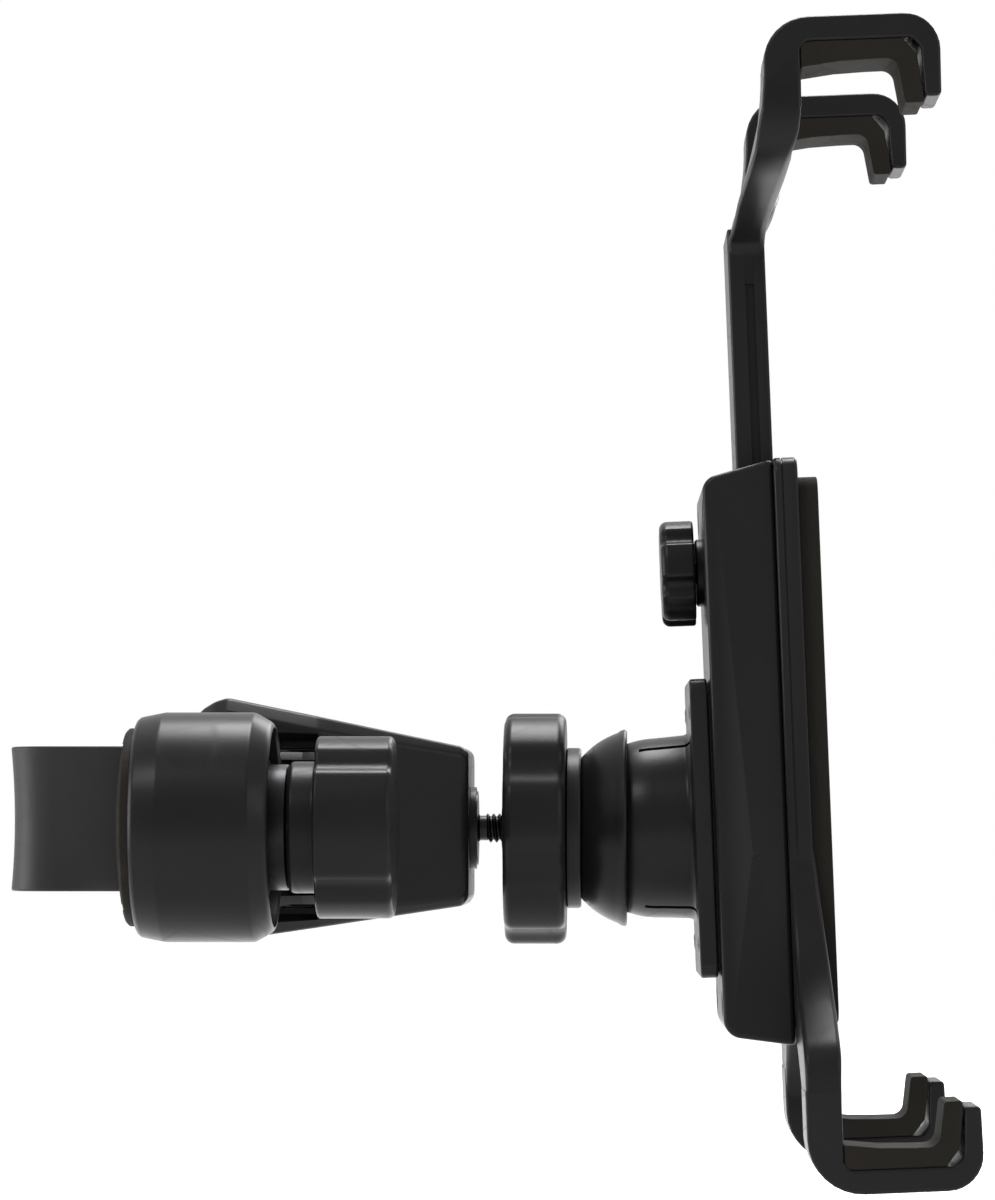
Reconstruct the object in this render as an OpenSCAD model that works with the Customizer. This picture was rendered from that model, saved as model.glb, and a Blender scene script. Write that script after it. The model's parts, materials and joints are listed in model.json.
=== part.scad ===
// Headrest tablet mount. Two hooks grip the posts of a car seat's headrest, a wedge
// shaped hub carries them, and a ball joint carries a cradle that is locked by one hand nut.
// Origin: midway between the two posts at the height of the hooks' threaded rods.
// +X points from the seat to the tablet, +Z up, left is -Y as the passenger sees it.

/* [Posts and hooks] */
// Distance between the axes of the two headrest posts
post_spacing = 140; // [134:1:150]
// Diameter of a headrest post, and of the round inside of a hook
post_d = 14; // [12:0.5:15]
// Thickness of a hook's band
hook_wall = 3.2; // [2.6:0.1:3.6]
// Height of a hook along the post
hook_h = 29; // [22:0.2:30]
// Height of the hook's middle above the axis of its rod
hook_lift = 1.7; // [0:0.1:2]
// Distance from the post's axis to the face of the grip pad, with the hook as shown
hook_reach = 11.4; // [10.5:0.1:14]
// How far the hook can be wound out from the pose shown
hook_out = 3.5; // [2:0.5:4]
// How far the hook can be wound in from the pose shown
hook_in = 4; // [2:0.5:5]
// Radius of the hook's threaded rod
hook_rod_r = 4; // [3:0.5:4]

/* [Grip pads and barrels] */
// Thickness of a grip pad in its middle
pad_t = 2.3; // [1.8:0.1:3.5]
// Radius of a grip pad
pad_r = 20; // [18.5:0.5:21]
// Number of grooves across a grip pad
pad_grooves = 9; // [5:1:13]
// Radius of a barrel
barrel_r = 23.2; // [22:0.2:25]
// Length of a barrel
barrel_l = 29.2; // [26:0.2:32]

/* [Clamp knobs] */
// Radius of a clamp knob over its lobes
clamp_knob_r = 18.4; // [16:0.2:20]
// Length of a clamp knob's lobed head
clamp_knob_l = 16.6; // [14:0.2:19]
// Number of lobes of a clamp knob
clamp_lobes = 5; // [4:1:8]
// Radius of the collar between head and barrel
collar_r = 12.6; // [10:0.2:14]
// Length of the collar
collar_l = 5.7; // [5:0.1:8]
// Thickness of the washer under the collar
clamp_washer_t = 2.5; // [1.5:0.1:3]

/* [Hub and arms] */
// Where the hub's front end face lies
hub_front = 80; // [79:0.5:82]
// Half the width of the hub's front end
hub_front_w = 19; // [17:0.5:22]
// Half the width of the hub where its cheeks end
hub_wide_w = 34; // [32:0.5:36]
// Half the height of the hub's front end
hub_front_h = 16.8; // [16.4:0.1:18]
// Wall thickness of the hub
hub_wall = 3; // [2.4:0.1:3.4]
// Radius of the pins on which the arms swing
pin_r = 3; // [2:0.25:3.5]
// Sideways distance of a pin from the middle
pin_y = 9; // [8.6:0.1:10]
// Height of an arm between the hub's walls
arm_h = 28.8; // [24:0.2:29]
// Outer radius of an arm's eye round its pin
eye_r = 8; // [6:0.2:8.2]

/* [Ball joint] */
// Where the centre of the ball lies
ball_x = 120.5; // [119.5:0.5:123]
// Radius of the ball
ball_r = 15.6; // [14:0.1:15.8]
// Wall thickness of the dome round the ball
dome_wall = 3.6; // [3:0.1:4]
// Radius of the stud's thread
stud_r = 3.175; // [2.5:0.025:3.175]
// Radius of the hand nut over its lobes
hand_nut_r = 25.2; // [22:0.2:28]
// Length of the hand nut
hand_nut_l = 13.3; // [11:0.1:14]
// Number of lobes of the hand nut
hand_lobes = 7; // [5:1:9]
// Radius of the thrust ring
ring_r = 17.4; // [16:0.1:20]
// Thickness of the thrust ring
ring_t = 3.1; // [2.5:0.1:3.5]
// Radius of the pressure cup's rim
cup_rim_r = 21.4; // [21:0.1:24]
// Lean of the cradle towards the seat, in degrees
lean = 2.3; // [0:0.1:6]
// Turn of the cradle about the upright, in degrees
turn = 0.7; // [0:0.1:3]

/* [Cradle] */
// Height of the base plate
base_h = 63.8; // [60:0.2:68]
// How far the base plate's middle lies below the ball
base_drop = 0.5; // [0:0.1:1]
// Width of the base plate
base_w = 45; // [44:0.5:46]
// Thickness of the base plate
base_t = 3.8; // [3:0.1:4]
// Width of the rear housing
housing_w = 48; // [47:0.5:54]
// Depth of the rear housing
housing_t = 15.2; // [14.6:0.1:16]
// Upper end of the rear housing, above the ball
housing_top = 77; // [74:0.5:84]
// Lower end of the rear housing, below the ball
housing_low = 47.4; // [45:0.2:50]
// Wall thickness of the rear housing
shell = 2.2; // [1.6:0.1:2.4]
// Thickness of the front plate
plate_t = 5.1; // [4.6:0.1:7]
// Width of the front plate
plate_w = 52; // [48:0.5:56]
// Thickness of the soft front pad
front_pad_t = 4.3; // [3:0.1:5]
// Number of grooves across the front pad
front_pad_grooves = 13; // [6:1:18]

/* [Claws and slider] */
// Distance between the middles of the left and right lower claws
lower_spacing = 95; // [88:1:105]
// Distance between the middles of the left and right upper claws
upper_spacing = 100; // [92:1:110]
// Width of a claw
claw_w = 17; // [14:0.5:20]
// Depth of a claw in front of the front plate
claw_reach = 31.2; // [28:0.2:38]
// Length of a claw's lip
lip_l = 17.3; // [14:0.1:20]
// Thickness of a claw's lip at its end
lip_t = 3.4; // [2.8:0.1:4]
// Thickness of a claw's arm
claw_arm_t = 7.4; // [7:0.1:9]
// Thickness of a claw's floor
claw_floor_t = 5.1; // [4:0.1:6]
// Thickness of the soft lining of a claw
lining_t = 4.2; // [3:0.1:5]
// Upper side of the upper claws, above the ball
upper_z = 164.7; // [160:0.1:168]
// Lower side of the lower claws, below the ball
lower_z = 77; // [75:0.1:80]
// Width of the slider's stem
stem_w = 24; // [20:0.5:26]
// Thickness of the slider's stem
stem_t = 8; // [7:0.1:8.2]
// Length of the slider's stem inside and above the housing
stem_l = 124; // [112:1:126]

/* [Lock knob] */
// Height of the lock knob's axis above the ball
lock_z = 55; // [50:0.1:58]
// Radius of the lock knob
lock_knob_r = 11.4; // [10:0.1:13]
// Length of the lock knob
lock_knob_l = 7.3; // [6.5:0.1:8]
// Number of lobes of the lock knob
lock_lobes = 6; // [5:1:8]
// Radius of the lock screw
lock_screw_r = 2.5; // [2:0.25:2.5]

/* [Fits] */
// Radial clearance of a pin or thread in the part that turns on it
running = 0.05; // [0.03:0.01:0.08]
// Radial clearance of a pressed-in pin or insert
press = 0.02; // [0.01:0.01:0.03]
// Gap between parts that move past each other
air = 0.3; // [0.25:0.05:0.35]

/* [Hidden] */
$fn = 96;
far = 200;
tiny = 0.01;

// Colours of the black mouldings, the rubber and the metal
plastic = [0.13, 0.13, 0.13];
plastic_dark = [0.09, 0.09, 0.09];
rubber = [0.16, 0.15, 0.12];
steel = [0.22, 0.22, 0.23];

// Places along X of the clamp, from the pad's face to the end of the knob
pad_x = hook_reach;
barrel_x = pad_x + pad_t;
barrel_end = barrel_x + barrel_l;
collar_x = barrel_end + clamp_washer_t;
knob_x = collar_x + collar_l;
knob_end = knob_x + clamp_knob_l;
post_r = post_d / 2;
hook_r = post_r + hook_wall;

// The hook's root slides in a pocket behind the pad
root_t = 8;
root_x = pad_x - hook_in * 0.55;
root_in_y = 8;
rod_end = knob_x + clamp_knob_l - hook_in - 1.6;
nut_af = 13;
nut_t = 6.5;

// The hub's wedge: half heights grow towards the seat by these slopes
top_slope = 0.204;
low_slope = 0.146;
cheek_x = 49;
hub_rear = 23;
hub_full = 30;
mouth_h = 17;
eye_x = 60;
boss_gap = air;
function hub_top(x) = hub_front_h + 0.3 + top_slope * (hub_front - x);
function hub_low(x) = -hub_front_h + 0.3 - low_slope * (hub_front - x);
end_wall = 6;
stud_nut_t = 4;
stud_nut_af = 11.1;
washer_t = 1.1;
washer_r = 8.9;
push_t = 0.35;

// Places along X of the ball joint
dome_r = ball_r + air + dome_wall;
cup_in_r = dome_r + air;
cup_rim_x = ball_x - 6.7;
cup_floor_x = ball_x - 15.1;
cup_x = cup_floor_x - 1.6;
ring_x = cup_x - ring_t;
hand_nut_x = ring_x - air / 3 - hand_nut_l;
insert_t = 5.6;
head_t = 4.4;

// Places in the cradle's own frame: x from the ball's centre, z up along the cradle
base_x = 7.5;
lock_boss = 1.5;
spacer_t = 0.6;
housing_x = base_x + base_t + spacer_t;
plate_x = housing_x + housing_t;
front_x = plate_x + plate_t;
pad_front_x = front_x + front_pad_t;
stem_x = plate_x + 0.6 - stem_t;
stem_top = 128;
stem_low = stem_top - stem_l;
claw_end = front_x + claw_reach;
lower_y = lower_spacing / 2;
upper_y = upper_spacing / 2;
claw_x = plate_x;
plate_top = housing_top + 0.6;
front_pad_top = 73.5;
front_pad_low = -43;
front_pad_w = plate_w - 6;
pad_margin = 3;

// Points on an arc round c, from angle a to angle b
function arc(c, r, a, b, n = 10) =
    [for (i = [0:n]) c + r * [cos(a + (b - a) * i / n), sin(a + (b - a) * i / n)]];

// A cylinder along X that starts at x
module rod_x(x, r, l) {
    translate([x, 0, 0]) rotate([0, 90, 0]) cylinder(r = r, h = l);
}

// A hexagonal bar along X, given by its width across flats
module hex_x(x, af, l) {
    translate([x, 0, 0]) rotate([0, 90, 0]) cylinder(r = af / sqrt(3), h = l, $fn = 6);
}

// A shape turned about X; points are [radius, x]
module turned_x(points) {
    rotate([0, 90, 0]) rotate_extrude() polygon(points);
}

// A side view of [x, z] points given a width along Y
module side_prism(points, y0, y1) {
    translate([0, y1, 0]) rotate([90, 0, 0]) linear_extrude(y1 - y0) polygon(points);
}

// A plate square to X with round corners
module plate_yz(x, t, w, z0, z1, r) {
    for (y = [-w / 2 + r, w / 2 - r], z = [z0 + r, z1 - r])
        translate([0, y, z]) rod_x(x, r, t);
    translate([x, -w / 2 + r, z0]) cube([t, w - 2 * r, z1 - z0]);
    translate([x, -w / 2, z0 + r]) cube([t, w, z1 - z0 - 2 * r]);
}

// A lobed knob along X: a turned body with rounded edges and round finger grooves
module lobed_body(x, r, l, lobes, groove_r, depth, first, edge) {
    difference() {
        turned_x(concat([[0, x]], arc([r - edge, x + edge], edge, -90, 0),
            arc([r - edge, x + l - edge], edge, 0, 90), [[0, x + l]]));
        for (i = [0:lobes - 1]) rotate([first + 360 / lobes * i, 0, 0])
            translate([0, -(r - depth + groove_r), 0]) rod_x(x - 1, groove_r, l + 2);
    }
}

// The left side is as drawn and the right side is its mirror image
module right_side() {
    mirror([0, 1, 0]) children();
}

// From the left post's axis to the object's frame
module at_left_post() {
    translate([0, -post_spacing / 2, 0]) children();
}

// From the cradle's own frame to the object's frame
module in_cradle() {
    translate([ball_x, 0, 0]) rotate([0, 0, turn]) rotate([0, -lean, 0]) children();
}

// Headrest clamp

module hook_plan() {
    difference() {
        circle(r = hook_r);
        circle(r = post_r);
        translate([0, -far / 2]) square([far, far]);
    }
    translate([0, (hook_r + post_r) / 2]) circle(d = hook_wall);
    difference() {
        translate([-tiny, -hook_r]) square([root_x + root_t + tiny, hook_r + root_in_y]);
        translate([-1, -post_r]) square([root_x - 1.5 + 1, far]);
        translate([root_x - 2, 1.5 - post_r]) square([2, far]);
        translate([root_x - 1.5, 1.5 - post_r]) circle(r = 1.5);
    }
}

module hook() {
    waist = 0.7;
    half_h = hook_h / 2 + air;
    waist_r = (half_h * half_h + waist * waist) / (2 * waist);
    at_left_post() difference() {
        translate([0, 0, hook_lift - hook_h / 2]) linear_extrude(hook_h) hook_plan();
        translate([0, 0, hook_lift]) intersection() {
            rotate_extrude() translate([hook_r - waist + waist_r, 0]) circle(r = waist_r, $fn = 180);
            translate([-far, -far / 2, -far / 2]) cube([far, far, far]);
        }
        rod_x(root_x + 1, hook_rod_r + press, far);
    }
}

module hook_rod() {
    at_left_post() union() {
        rod_x(root_x + 1, hook_rod_r, rod_end - root_x - 2);
        translate([rod_end - 1, 0, 0]) rotate([0, 90, 0])
            cylinder(r1 = hook_rod_r, r2 = hook_rod_r - 0.9, h = 1);
    }
}

module left_hook() color(plastic) hook();
module right_hook() color(plastic) right_side() hook();
module left_hook_rod() color(steel) hook_rod();
module right_hook_rod() color(steel) right_side() hook_rod();

// The window behind which the hook's root slides, at the left post
module root_window(x0, x1) {
    translate([x0, -hook_r - air, hook_lift - hook_h / 2 - air])
        cube([x1 - x0, hook_r + root_in_y + 2 * air, hook_h + 2 * air]);
}

module grip_pad() {
    crown = pad_t - 0.3;
    crown_r = (pad_r * pad_r + crown * crown) / (2 * crown);
    pitch = 2 * pad_r / (pad_grooves + 1);
    at_left_post() difference() {
        intersection() {
            rod_x(pad_x - 1, pad_r, pad_t + 1);
            translate([pad_x + crown_r, 0, 0]) sphere(r = crown_r, $fn = 180);
        }
        root_window(pad_x - 1, barrel_x + 1);
        for (i = [1:pad_grooves]) {
            z = pitch * i - pad_r;
            translate([pad_x + z * z / (2 * crown_r), 0, z])
                rotate([0, 45, 0]) cube([1, far, 1], center = true);
        }
    }
}

module left_grip_pad() color(rubber) grip_pad();
module right_grip_pad() color(rubber) right_side() grip_pad();

// Plan of an arm's bent link, from its eye in the hub to its barrel
module link_plan(swell = 0) {
    bend_1 = [45.5, -14.5];
    bend_2 = [34, -31];
    foot = [28, -post_spacing / 2 + barrel_r - 4];
    hull() {
        translate([eye_x, -pin_y]) circle(r = eye_r + swell, $fn = 48);
        translate(bend_1) circle(r = 6 + swell, $fn = 32);
    }
    hull() {
        translate(bend_1) circle(r = 6 + swell, $fn = 32);
        translate(bend_2) circle(r = 6.5 + swell, $fn = 32);
    }
    hull() {
        translate(bend_2) circle(r = 6.5 + swell, $fn = 32);
        translate(foot) circle(r = 9 + swell, $fn = 32);
    }
}

module arm() {
    rim = 3.2;
    difference() {
        union() {
            at_left_post() turned_x(concat([[0, barrel_x], [pad_r + 0.3, barrel_x]],
                arc([barrel_r - 3.8, barrel_x + 3.8], 3.8, -70, 0), [[barrel_r, barrel_end - 5]],
                arc([barrel_r - 4, barrel_end - 5], 4, 15, 60, 4),
                [[barrel_r - 2.7, barrel_end], [0, barrel_end]]));
            translate([0, 0, -arm_h / 2]) linear_extrude(arm_h) link_plan();
        }
        at_left_post() {
            root_window(barrel_x - 1, root_x + root_t + hook_in + 0.6);
            rod_x(barrel_x, hook_rod_r + air, far);
            // the barrel's end is cupped round the washer
            rod_x(barrel_end - 1.2, collar_r + 3, far);
            rotate([0, 90, 0]) translate([0, 0, barrel_end - 3.2]) difference() {
                cylinder(r = barrel_r - rim, h = 4);
                cylinder(r = collar_r + 1, h = 4);
            }
        }
        translate([eye_x, -pin_y, -far / 2]) cylinder(r = pin_r + running, h = far);
        // moulding recesses above and below the link's web
        for (z = [arm_h / 2 - 4, -arm_h / 2 - 1]) translate([0, 0, z]) linear_extrude(5)
            intersection() {
                polygon([[49, -13.5], [36, -31.5], [33, -29], [45.5, -11.5]]);
                translate([30, -34]) square([19, 24]);
            }
    }
}

module left_arm() color(plastic) arm();
module right_arm() color(plastic) right_side() arm();

module clamp_washer() {
    at_left_post() difference() {
        rod_x(barrel_end - 1.2, 9, clamp_washer_t + 1.2 - air / 3);
        rod_x(0, hook_rod_r + air, far);
    }
}

module left_clamp_washer() color(steel) clamp_washer();
module right_clamp_washer() color(steel) right_side() clamp_washer();

module clamp_knob() {
    at_left_post() difference() {
        union() {
            lobed_body(knob_x, clamp_knob_r, clamp_knob_l, clamp_lobes, 3.6, 1.7, 180 / clamp_lobes, 1.4);
            turned_x(concat([[0, collar_x]], arc([collar_r - 1.2, collar_x + 1.2], 1.2, -90, 0),
                [[collar_r, knob_x + 1], [0, knob_x + 1]]));
        }
        hex_x(collar_x - 1, nut_af + 2 * press, nut_t + 1.2);
        rod_x(collar_x, hook_rod_r + air, knob_end - collar_x - 1.4);
    }
}

module left_clamp_knob() color(plastic) clamp_knob();
module right_clamp_knob() color(plastic) right_side() clamp_knob();

module knob_nut() {
    at_left_post() difference() {
        hex_x(collar_x + 0.2, nut_af, nut_t);
        rod_x(0, hook_rod_r + running, far);
    }
}

module left_knob_nut() color(steel) knob_nut();
module right_knob_nut() color(steel) right_side() knob_nut();

// Hub

// One slice of the hub's wedge at x, with bevelled corners
module hub_slice(x, w, top, low, bevel) {
    translate([x, 0, 0]) rotate([90, 0, 90]) linear_extrude(tiny) polygon([
        [w - bevel, top], [w, top - bevel], [w, low + bevel], [w - bevel, low],
        [bevel - w, low], [-w, low + bevel], [-w, top - bevel], [bevel - w, top]]);
}

module hub_outside() {
    hull() {
        hub_slice(hub_front - tiny, hub_front_w - 0.8, hub_top(hub_front) - 0.8, hub_low(hub_front) + 0.8, 1.5);
        hub_slice(hub_front - 1, hub_front_w, hub_top(hub_front - 1), hub_low(hub_front - 1), 1.5);
        hub_slice(cheek_x, hub_wide_w, hub_top(cheek_x), hub_low(cheek_x), 3);
        hub_slice(hub_full, hub_wide_w + 2, hub_top(hub_full), hub_low(hub_full), 3);
        hub_slice(hub_rear, hub_wide_w - 1, hub_top(hub_full) - 3.4, hub_low(hub_full) + 1.6, 3);
    }
}

// A rectangular slice of the hub's inside
module box_slice(x, w, h) {
    translate([x, -w, -h]) cube([tiny, 2 * w, 2 * h]);
}

module hub_inside() {
    inner = hub_front - end_wall;
    share = end_wall / (hub_front - cheek_x);
    inner_w = hub_front_w + share * (hub_wide_w - hub_front_w) - hub_wall;
    hull() {
        box_slice(inner, inner_w, hub_front_h - 2.1);
        box_slice(cheek_x, hub_wide_w - hub_wall, mouth_h);
    }
    translate([hub_rear - 1, -hub_wide_w + hub_wall + 1, -mouth_h])
        cube([cheek_x - hub_rear + 1.1, 2 * (hub_wide_w - hub_wall - 1), 2 * mouth_h]);
    // the side mouths flare so that the arms can swing
    for (side = [-1, 1]) hull() {
        translate([hub_rear - 1, side * (hub_wide_w - 5) - tiny / 2, -mouth_h - 1.2])
            cube([cheek_x - hub_rear + 1, tiny, 2 * mouth_h + 2.4]);
        translate([hub_rear - 1, side * (hub_wide_w + 4) - tiny / 2, -mouth_h - 4])
            cube([cheek_x - hub_rear + 1, tiny, 2 * mouth_h + 8]);
    }
}

module hub() color(plastic) {
    difference() {
        hub_outside();
        difference() {
            hub_inside();
            for (side = [-1, 1]) translate([eye_x, side * pin_y, 0]) {
                translate([0, 0, arm_h / 2 + boss_gap]) cylinder(r = eye_r, h = far);
                translate([0, 0, -arm_h / 2 - boss_gap - far]) cylinder(r = eye_r, h = far);
            }
        }
        for (side = [-1, 1]) translate([eye_x, side * pin_y, 0]) {
            translate([0, 0, -far / 2]) cylinder(r = pin_r + press, h = far);
            translate([0, 0, hub_top(eye_x) - 2.4]) cylinder(r = pin_r + 2 + air, h = far);
            translate([0, 0, hub_low(eye_x) + 2.2 - far]) cylinder(r = pin_r + 2 + air, h = far);
        }
        rod_x(0, stud_r + press, far);
        // hollows under the sloping walls leave a rib in the middle
        for (side = [-1, 1], x = [27, 39]) {
            translate([x, side * 13 - 10, mouth_h - 1])
                cube([9, 20, hub_top(x + 9) - hub_wall - mouth_h + 1]);
            translate([x, side * 13 - 10, hub_low(x + 9) + hub_wall])
                cube([9, 20, -hub_low(x + 9) - hub_wall - mouth_h + 1]);
        }
    }
}

module pivot_pin() {
    head_z = hub_top(eye_x) - 2.4;
    foot_z = hub_low(eye_x) + 2.2;
    translate([eye_x, -pin_y, 0]) {
        translate([0, 0, foot_z]) cylinder(r = pin_r, h = head_z - foot_z);
        translate([0, 0, head_z]) cylinder(r = pin_r + 2, h = 1.1);
        translate([0, 0, foot_z - 1]) cylinder(r = pin_r + 1.4, h = 1);
    }
}

module left_pivot_pin() color(steel) pivot_pin();
module right_pivot_pin() color(steel) right_side() pivot_pin();

// Ball joint

module stud() color(steel) {
    neck_x = hub_front + washer_t + push_t;
    start = hub_front - end_wall - stud_nut_t - 1.5;
    turned_x([[0, start], [stud_r - 0.6, start], [stud_r, start + 0.7], [stud_r, neck_x],
        [stud_r - 0.4, neck_x + 0.2], [stud_r - 0.4, neck_x + 1.1], [stud_r, neck_x + 1.4],
        [stud_r, ball_x - head_t + tiny], [0, ball_x - head_t + tiny]]);
    hex_x(ball_x - head_t, stud_nut_af, head_t);
}

module ball() color(plastic_dark) {
    difference() {
        translate([ball_x, 0, 0]) rotate([0, 90, 0]) sphere(r = ball_r);
        translate([ball_x - 14 - far, -far / 2, -far / 2]) cube([far, far, far]);
        translate([ball_x + 5.5, -far / 2, -far / 2]) cube([far, far, far]);
        rod_x(0, stud_r + press, ball_x);
        hex_x(ball_x - head_t, stud_nut_af + 2 * press, far);
        // the ball's back is cored to an even wall
        translate([ball_x + 1, 0, 0]) rotate([0, 90, 0]) difference() {
            cylinder(r = ball_r - 3.4, h = far);
            cylinder(r = stud_nut_af / 2 + 3, h = far);
        }
    }
}

module stud_nut() color(steel) {
    difference() {
        hex_x(hub_front - end_wall - stud_nut_t, stud_nut_af, stud_nut_t);
        rod_x(0, stud_r + press, far);
    }
}

module stud_washer() color(steel) {
    difference() {
        rod_x(hub_front, washer_r, washer_t);
        rod_x(0, stud_r + press, far);
    }
}

module push_ring() color(steel) {
    difference() {
        rod_x(hub_front + washer_t, washer_r - 0.9, push_t);
        rod_x(0, stud_r + press, far);
        for (i = [0:5]) rotate([60 * i, 0, 0])
            translate([hub_front, -0.4, stud_r - 1]) cube([9, 0.8, 2.6]);
    }
}

module hand_nut() color(plastic) {
    difference() {
        union() {
            lobed_body(hand_nut_x, hand_nut_r, hand_nut_l, hand_lobes, 10, 1.5, 19, 2);
            rod_x(hand_nut_x - 0.7, 4.8, 2);
        }
        rod_x(0, stud_r + air, far);
        hex_x(hand_nut_x + hand_nut_l - insert_t, stud_nut_af + 2 * press, far);
        // the face under the ring is cored to an even wall
        translate([hand_nut_x + 3.2, 0, 0]) rotate([0, 90, 0]) difference() {
            cylinder(r = ring_r - 2.5, h = far);
            cylinder(r = stud_nut_af / 2 + 3.4, h = far);
        }
    }
}

module hand_nut_insert() color(steel) {
    difference() {
        hex_x(hand_nut_x + hand_nut_l - insert_t, stud_nut_af, insert_t);
        rod_x(0, stud_r + running, far);
    }
}

module thrust_ring() color(plastic_dark) {
    difference() {
        turned_x([[0, ring_x], [ring_r, ring_x], [ring_r, cup_x - 0.4], [ring_r - 0.4, cup_x], [0, cup_x]]);
        rod_x(0, stud_r + air, far);
    }
}

module pressure_cup() color(plastic) {
    difference() {
        turned_x(concat([[0, cup_x], [cup_rim_r - 6.2, cup_x], [cup_rim_r - 5.6, cup_x + 0.4],
            [cup_rim_r - 3.7, cup_x + 2.4], [cup_rim_r - 1.9, cup_x + 5], [cup_rim_r - 0.7, cup_x + 7.2]],
            arc([cup_rim_r - 1, cup_rim_x - 1.3], 1, -30, 90, 6), [[0, cup_rim_x]]));
        difference() {
            translate([ball_x, 0, 0]) rotate([0, 90, 0]) sphere(r = cup_in_r);
            rod_x(cup_floor_x - far, far, far);
        }
        rod_x(0, stud_r + air, far);
    }
}

// Cradle

module socket_base() color(plastic) {
    dome_front = -11;
    hole_r = ball_r + air;
    front_a = acos(-dome_front / dome_r);
    slot_r = dome_r + 2.6;
    in_cradle() difference() {
        union() {
            turned_x(concat([[0, dome_front]],
                [for (i = [0:10]) let (a = front_a + (90 - front_a) * i / 10)
                    [dome_r * sin(a), -dome_r * cos(a)]],
                [[dome_r + 0.4, base_x - 1.5]],
                arc([dome_r + 1.9, base_x - 1.5], 1.5, 180, 90, 5), [[0, base_x + 1]]));
            plate_yz(base_x, base_t, base_w, -base_h / 2 - base_drop, base_h / 2 - base_drop, 3);
        }
        rotate([0, 90, 0]) sphere(r = hole_r);
        rod_x(0.8, hole_r + 0.1, far);
        // slots at the dome's foot
        for (a = [-61, 61, 119, -119]) rotate([a, 0, 0])
            translate([-3.6, -slot_r, -0.6]) cube([base_x + 3.9, slot_r, 1.2]);
        for (y = [-1, 1], z = [-1, 1])
            translate([0, y * (base_w / 2 - 5), z * (base_h / 2 - 7) - base_drop]) rod_x(0, 1.5 + press, far);
    }
}

module base_screws() color(steel) {
    in_cradle() for (y = [-1, 1], z = [-1, 1])
        translate([0, y * (base_w / 2 - 5), z * (base_h / 2 - 7) - base_drop]) {
            rod_x(base_x, 1.5, base_t + spacer_t + shell);
            turned_x([[0, base_x - 0.9], [1.6, base_x - 0.9], [2.7, base_x - 0.3], [2.7, base_x], [0, base_x]]);
        }
}

// Side view of the rear housing, grown or shrunk by g
function housing_side(g) = concat(
    [[plate_x, -housing_low - g], [plate_x, housing_top + g]],
    [[plate_x - 1, housing_top + g]],
    arc([housing_x + 2.8, housing_top - 5.2], 2.8 + g, 105, 180, 6),
    arc([housing_x + 4.6, -housing_low + 6.9], 4.6 + g, 180, 262, 8));

module housing_solid(g, w) {
    intersection() {
        side_prism(housing_side(g), -w / 2, w / 2);
        union() {
            translate([housing_x - g + 3, -w / 2, -far]) cube([far, w, 2 * far]);
            translate([housing_x - g, -w / 2 + 3, -far]) cube([far, w - 6, 2 * far]);
            for (y = [-w / 2 + 3, w / 2 - 3])
                translate([housing_x - g + 3, y, -far]) cylinder(r = 3, h = 2 * far);
        }
    }
}

// Where the housing's four screws sit
module at_housing_screws() {
    for (y = [-1, 1], z = [-38, 67]) translate([0, y * (housing_w / 2 - 5.2), z]) children();
}

module rear_housing() color(plastic) {
    guide_w = stem_w + 2 * air;
    in_cradle() difference() {
        union() {
            difference() {
                housing_solid(0, housing_w);
                housing_solid(-shell, housing_w - 2 * shell);
                translate([plate_x - 1, -housing_w / 2 + shell, -housing_low + shell])
                    cube([2, housing_w - 2 * shell, housing_low + housing_top - 2 * shell]);
            }
            // guide walls and backing ribs of the slider's channel
            intersection() {
                for (side = [-1, 1]) {
                    translate([housing_x, side * (guide_w / 2 + 1) - 1, -housing_low + 1])
                        cube([housing_t, 2, housing_low + housing_top - 2]);
                    translate([housing_x, side * 7.5 - 1, -housing_low + 1])
                        cube([stem_x - air - housing_x, 2, housing_low + housing_top - 2]);
                }
                housing_solid(-0.5, housing_w - 1);
            }
            intersection() {
                union() {
                    at_housing_screws() rod_x(housing_x, 3.4, housing_t);
                    translate([0, 0, lock_z]) rod_x(housing_x, 6.6, stem_x - air - housing_x);
                }
                housing_solid(0, housing_w);
            }
            // raised pad behind the base plate, and the boss of the lock knob
            translate([base_x + base_t, -base_w / 2 + 2.5, -base_h / 2 - base_drop + 3])
                cube([spacer_t + 1, base_w - 5, base_h - 6]);
            translate([0, 0, lock_z]) rod_x(housing_x - lock_boss, 7.3, lock_boss + 1);
        }
        translate([stem_x - air, -guide_w / 2, stem_low - 60])
            cube([far, guide_w, far + 60]);
        at_housing_screws() {
            rod_x(housing_x - 1, 2.9, 2.6);
            rod_x(housing_x - 1, 1.5 + press, far);
        }
        translate([0, 0, lock_z]) {
            rod_x(housing_x - 3, lock_screw_r + air, far);
            hex_x(stem_x - air - 4.1, 8 + 2 * press, far);
        }
        for (y = [-1, 1], z = [-1, 1])
            translate([0, y * (base_w / 2 - 5), z * (base_h / 2 - 7) - base_drop])
                rod_x(base_x, 1.5 + press, far / 10);
    }
}

module housing_screws() color(steel) {
    in_cradle() at_housing_screws() {
        rod_x(housing_x + 1.6, 1.5, housing_t - 1.6 + 3);
        rod_x(housing_x + 0.2, 2.7, 1.4);
    }
}

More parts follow.
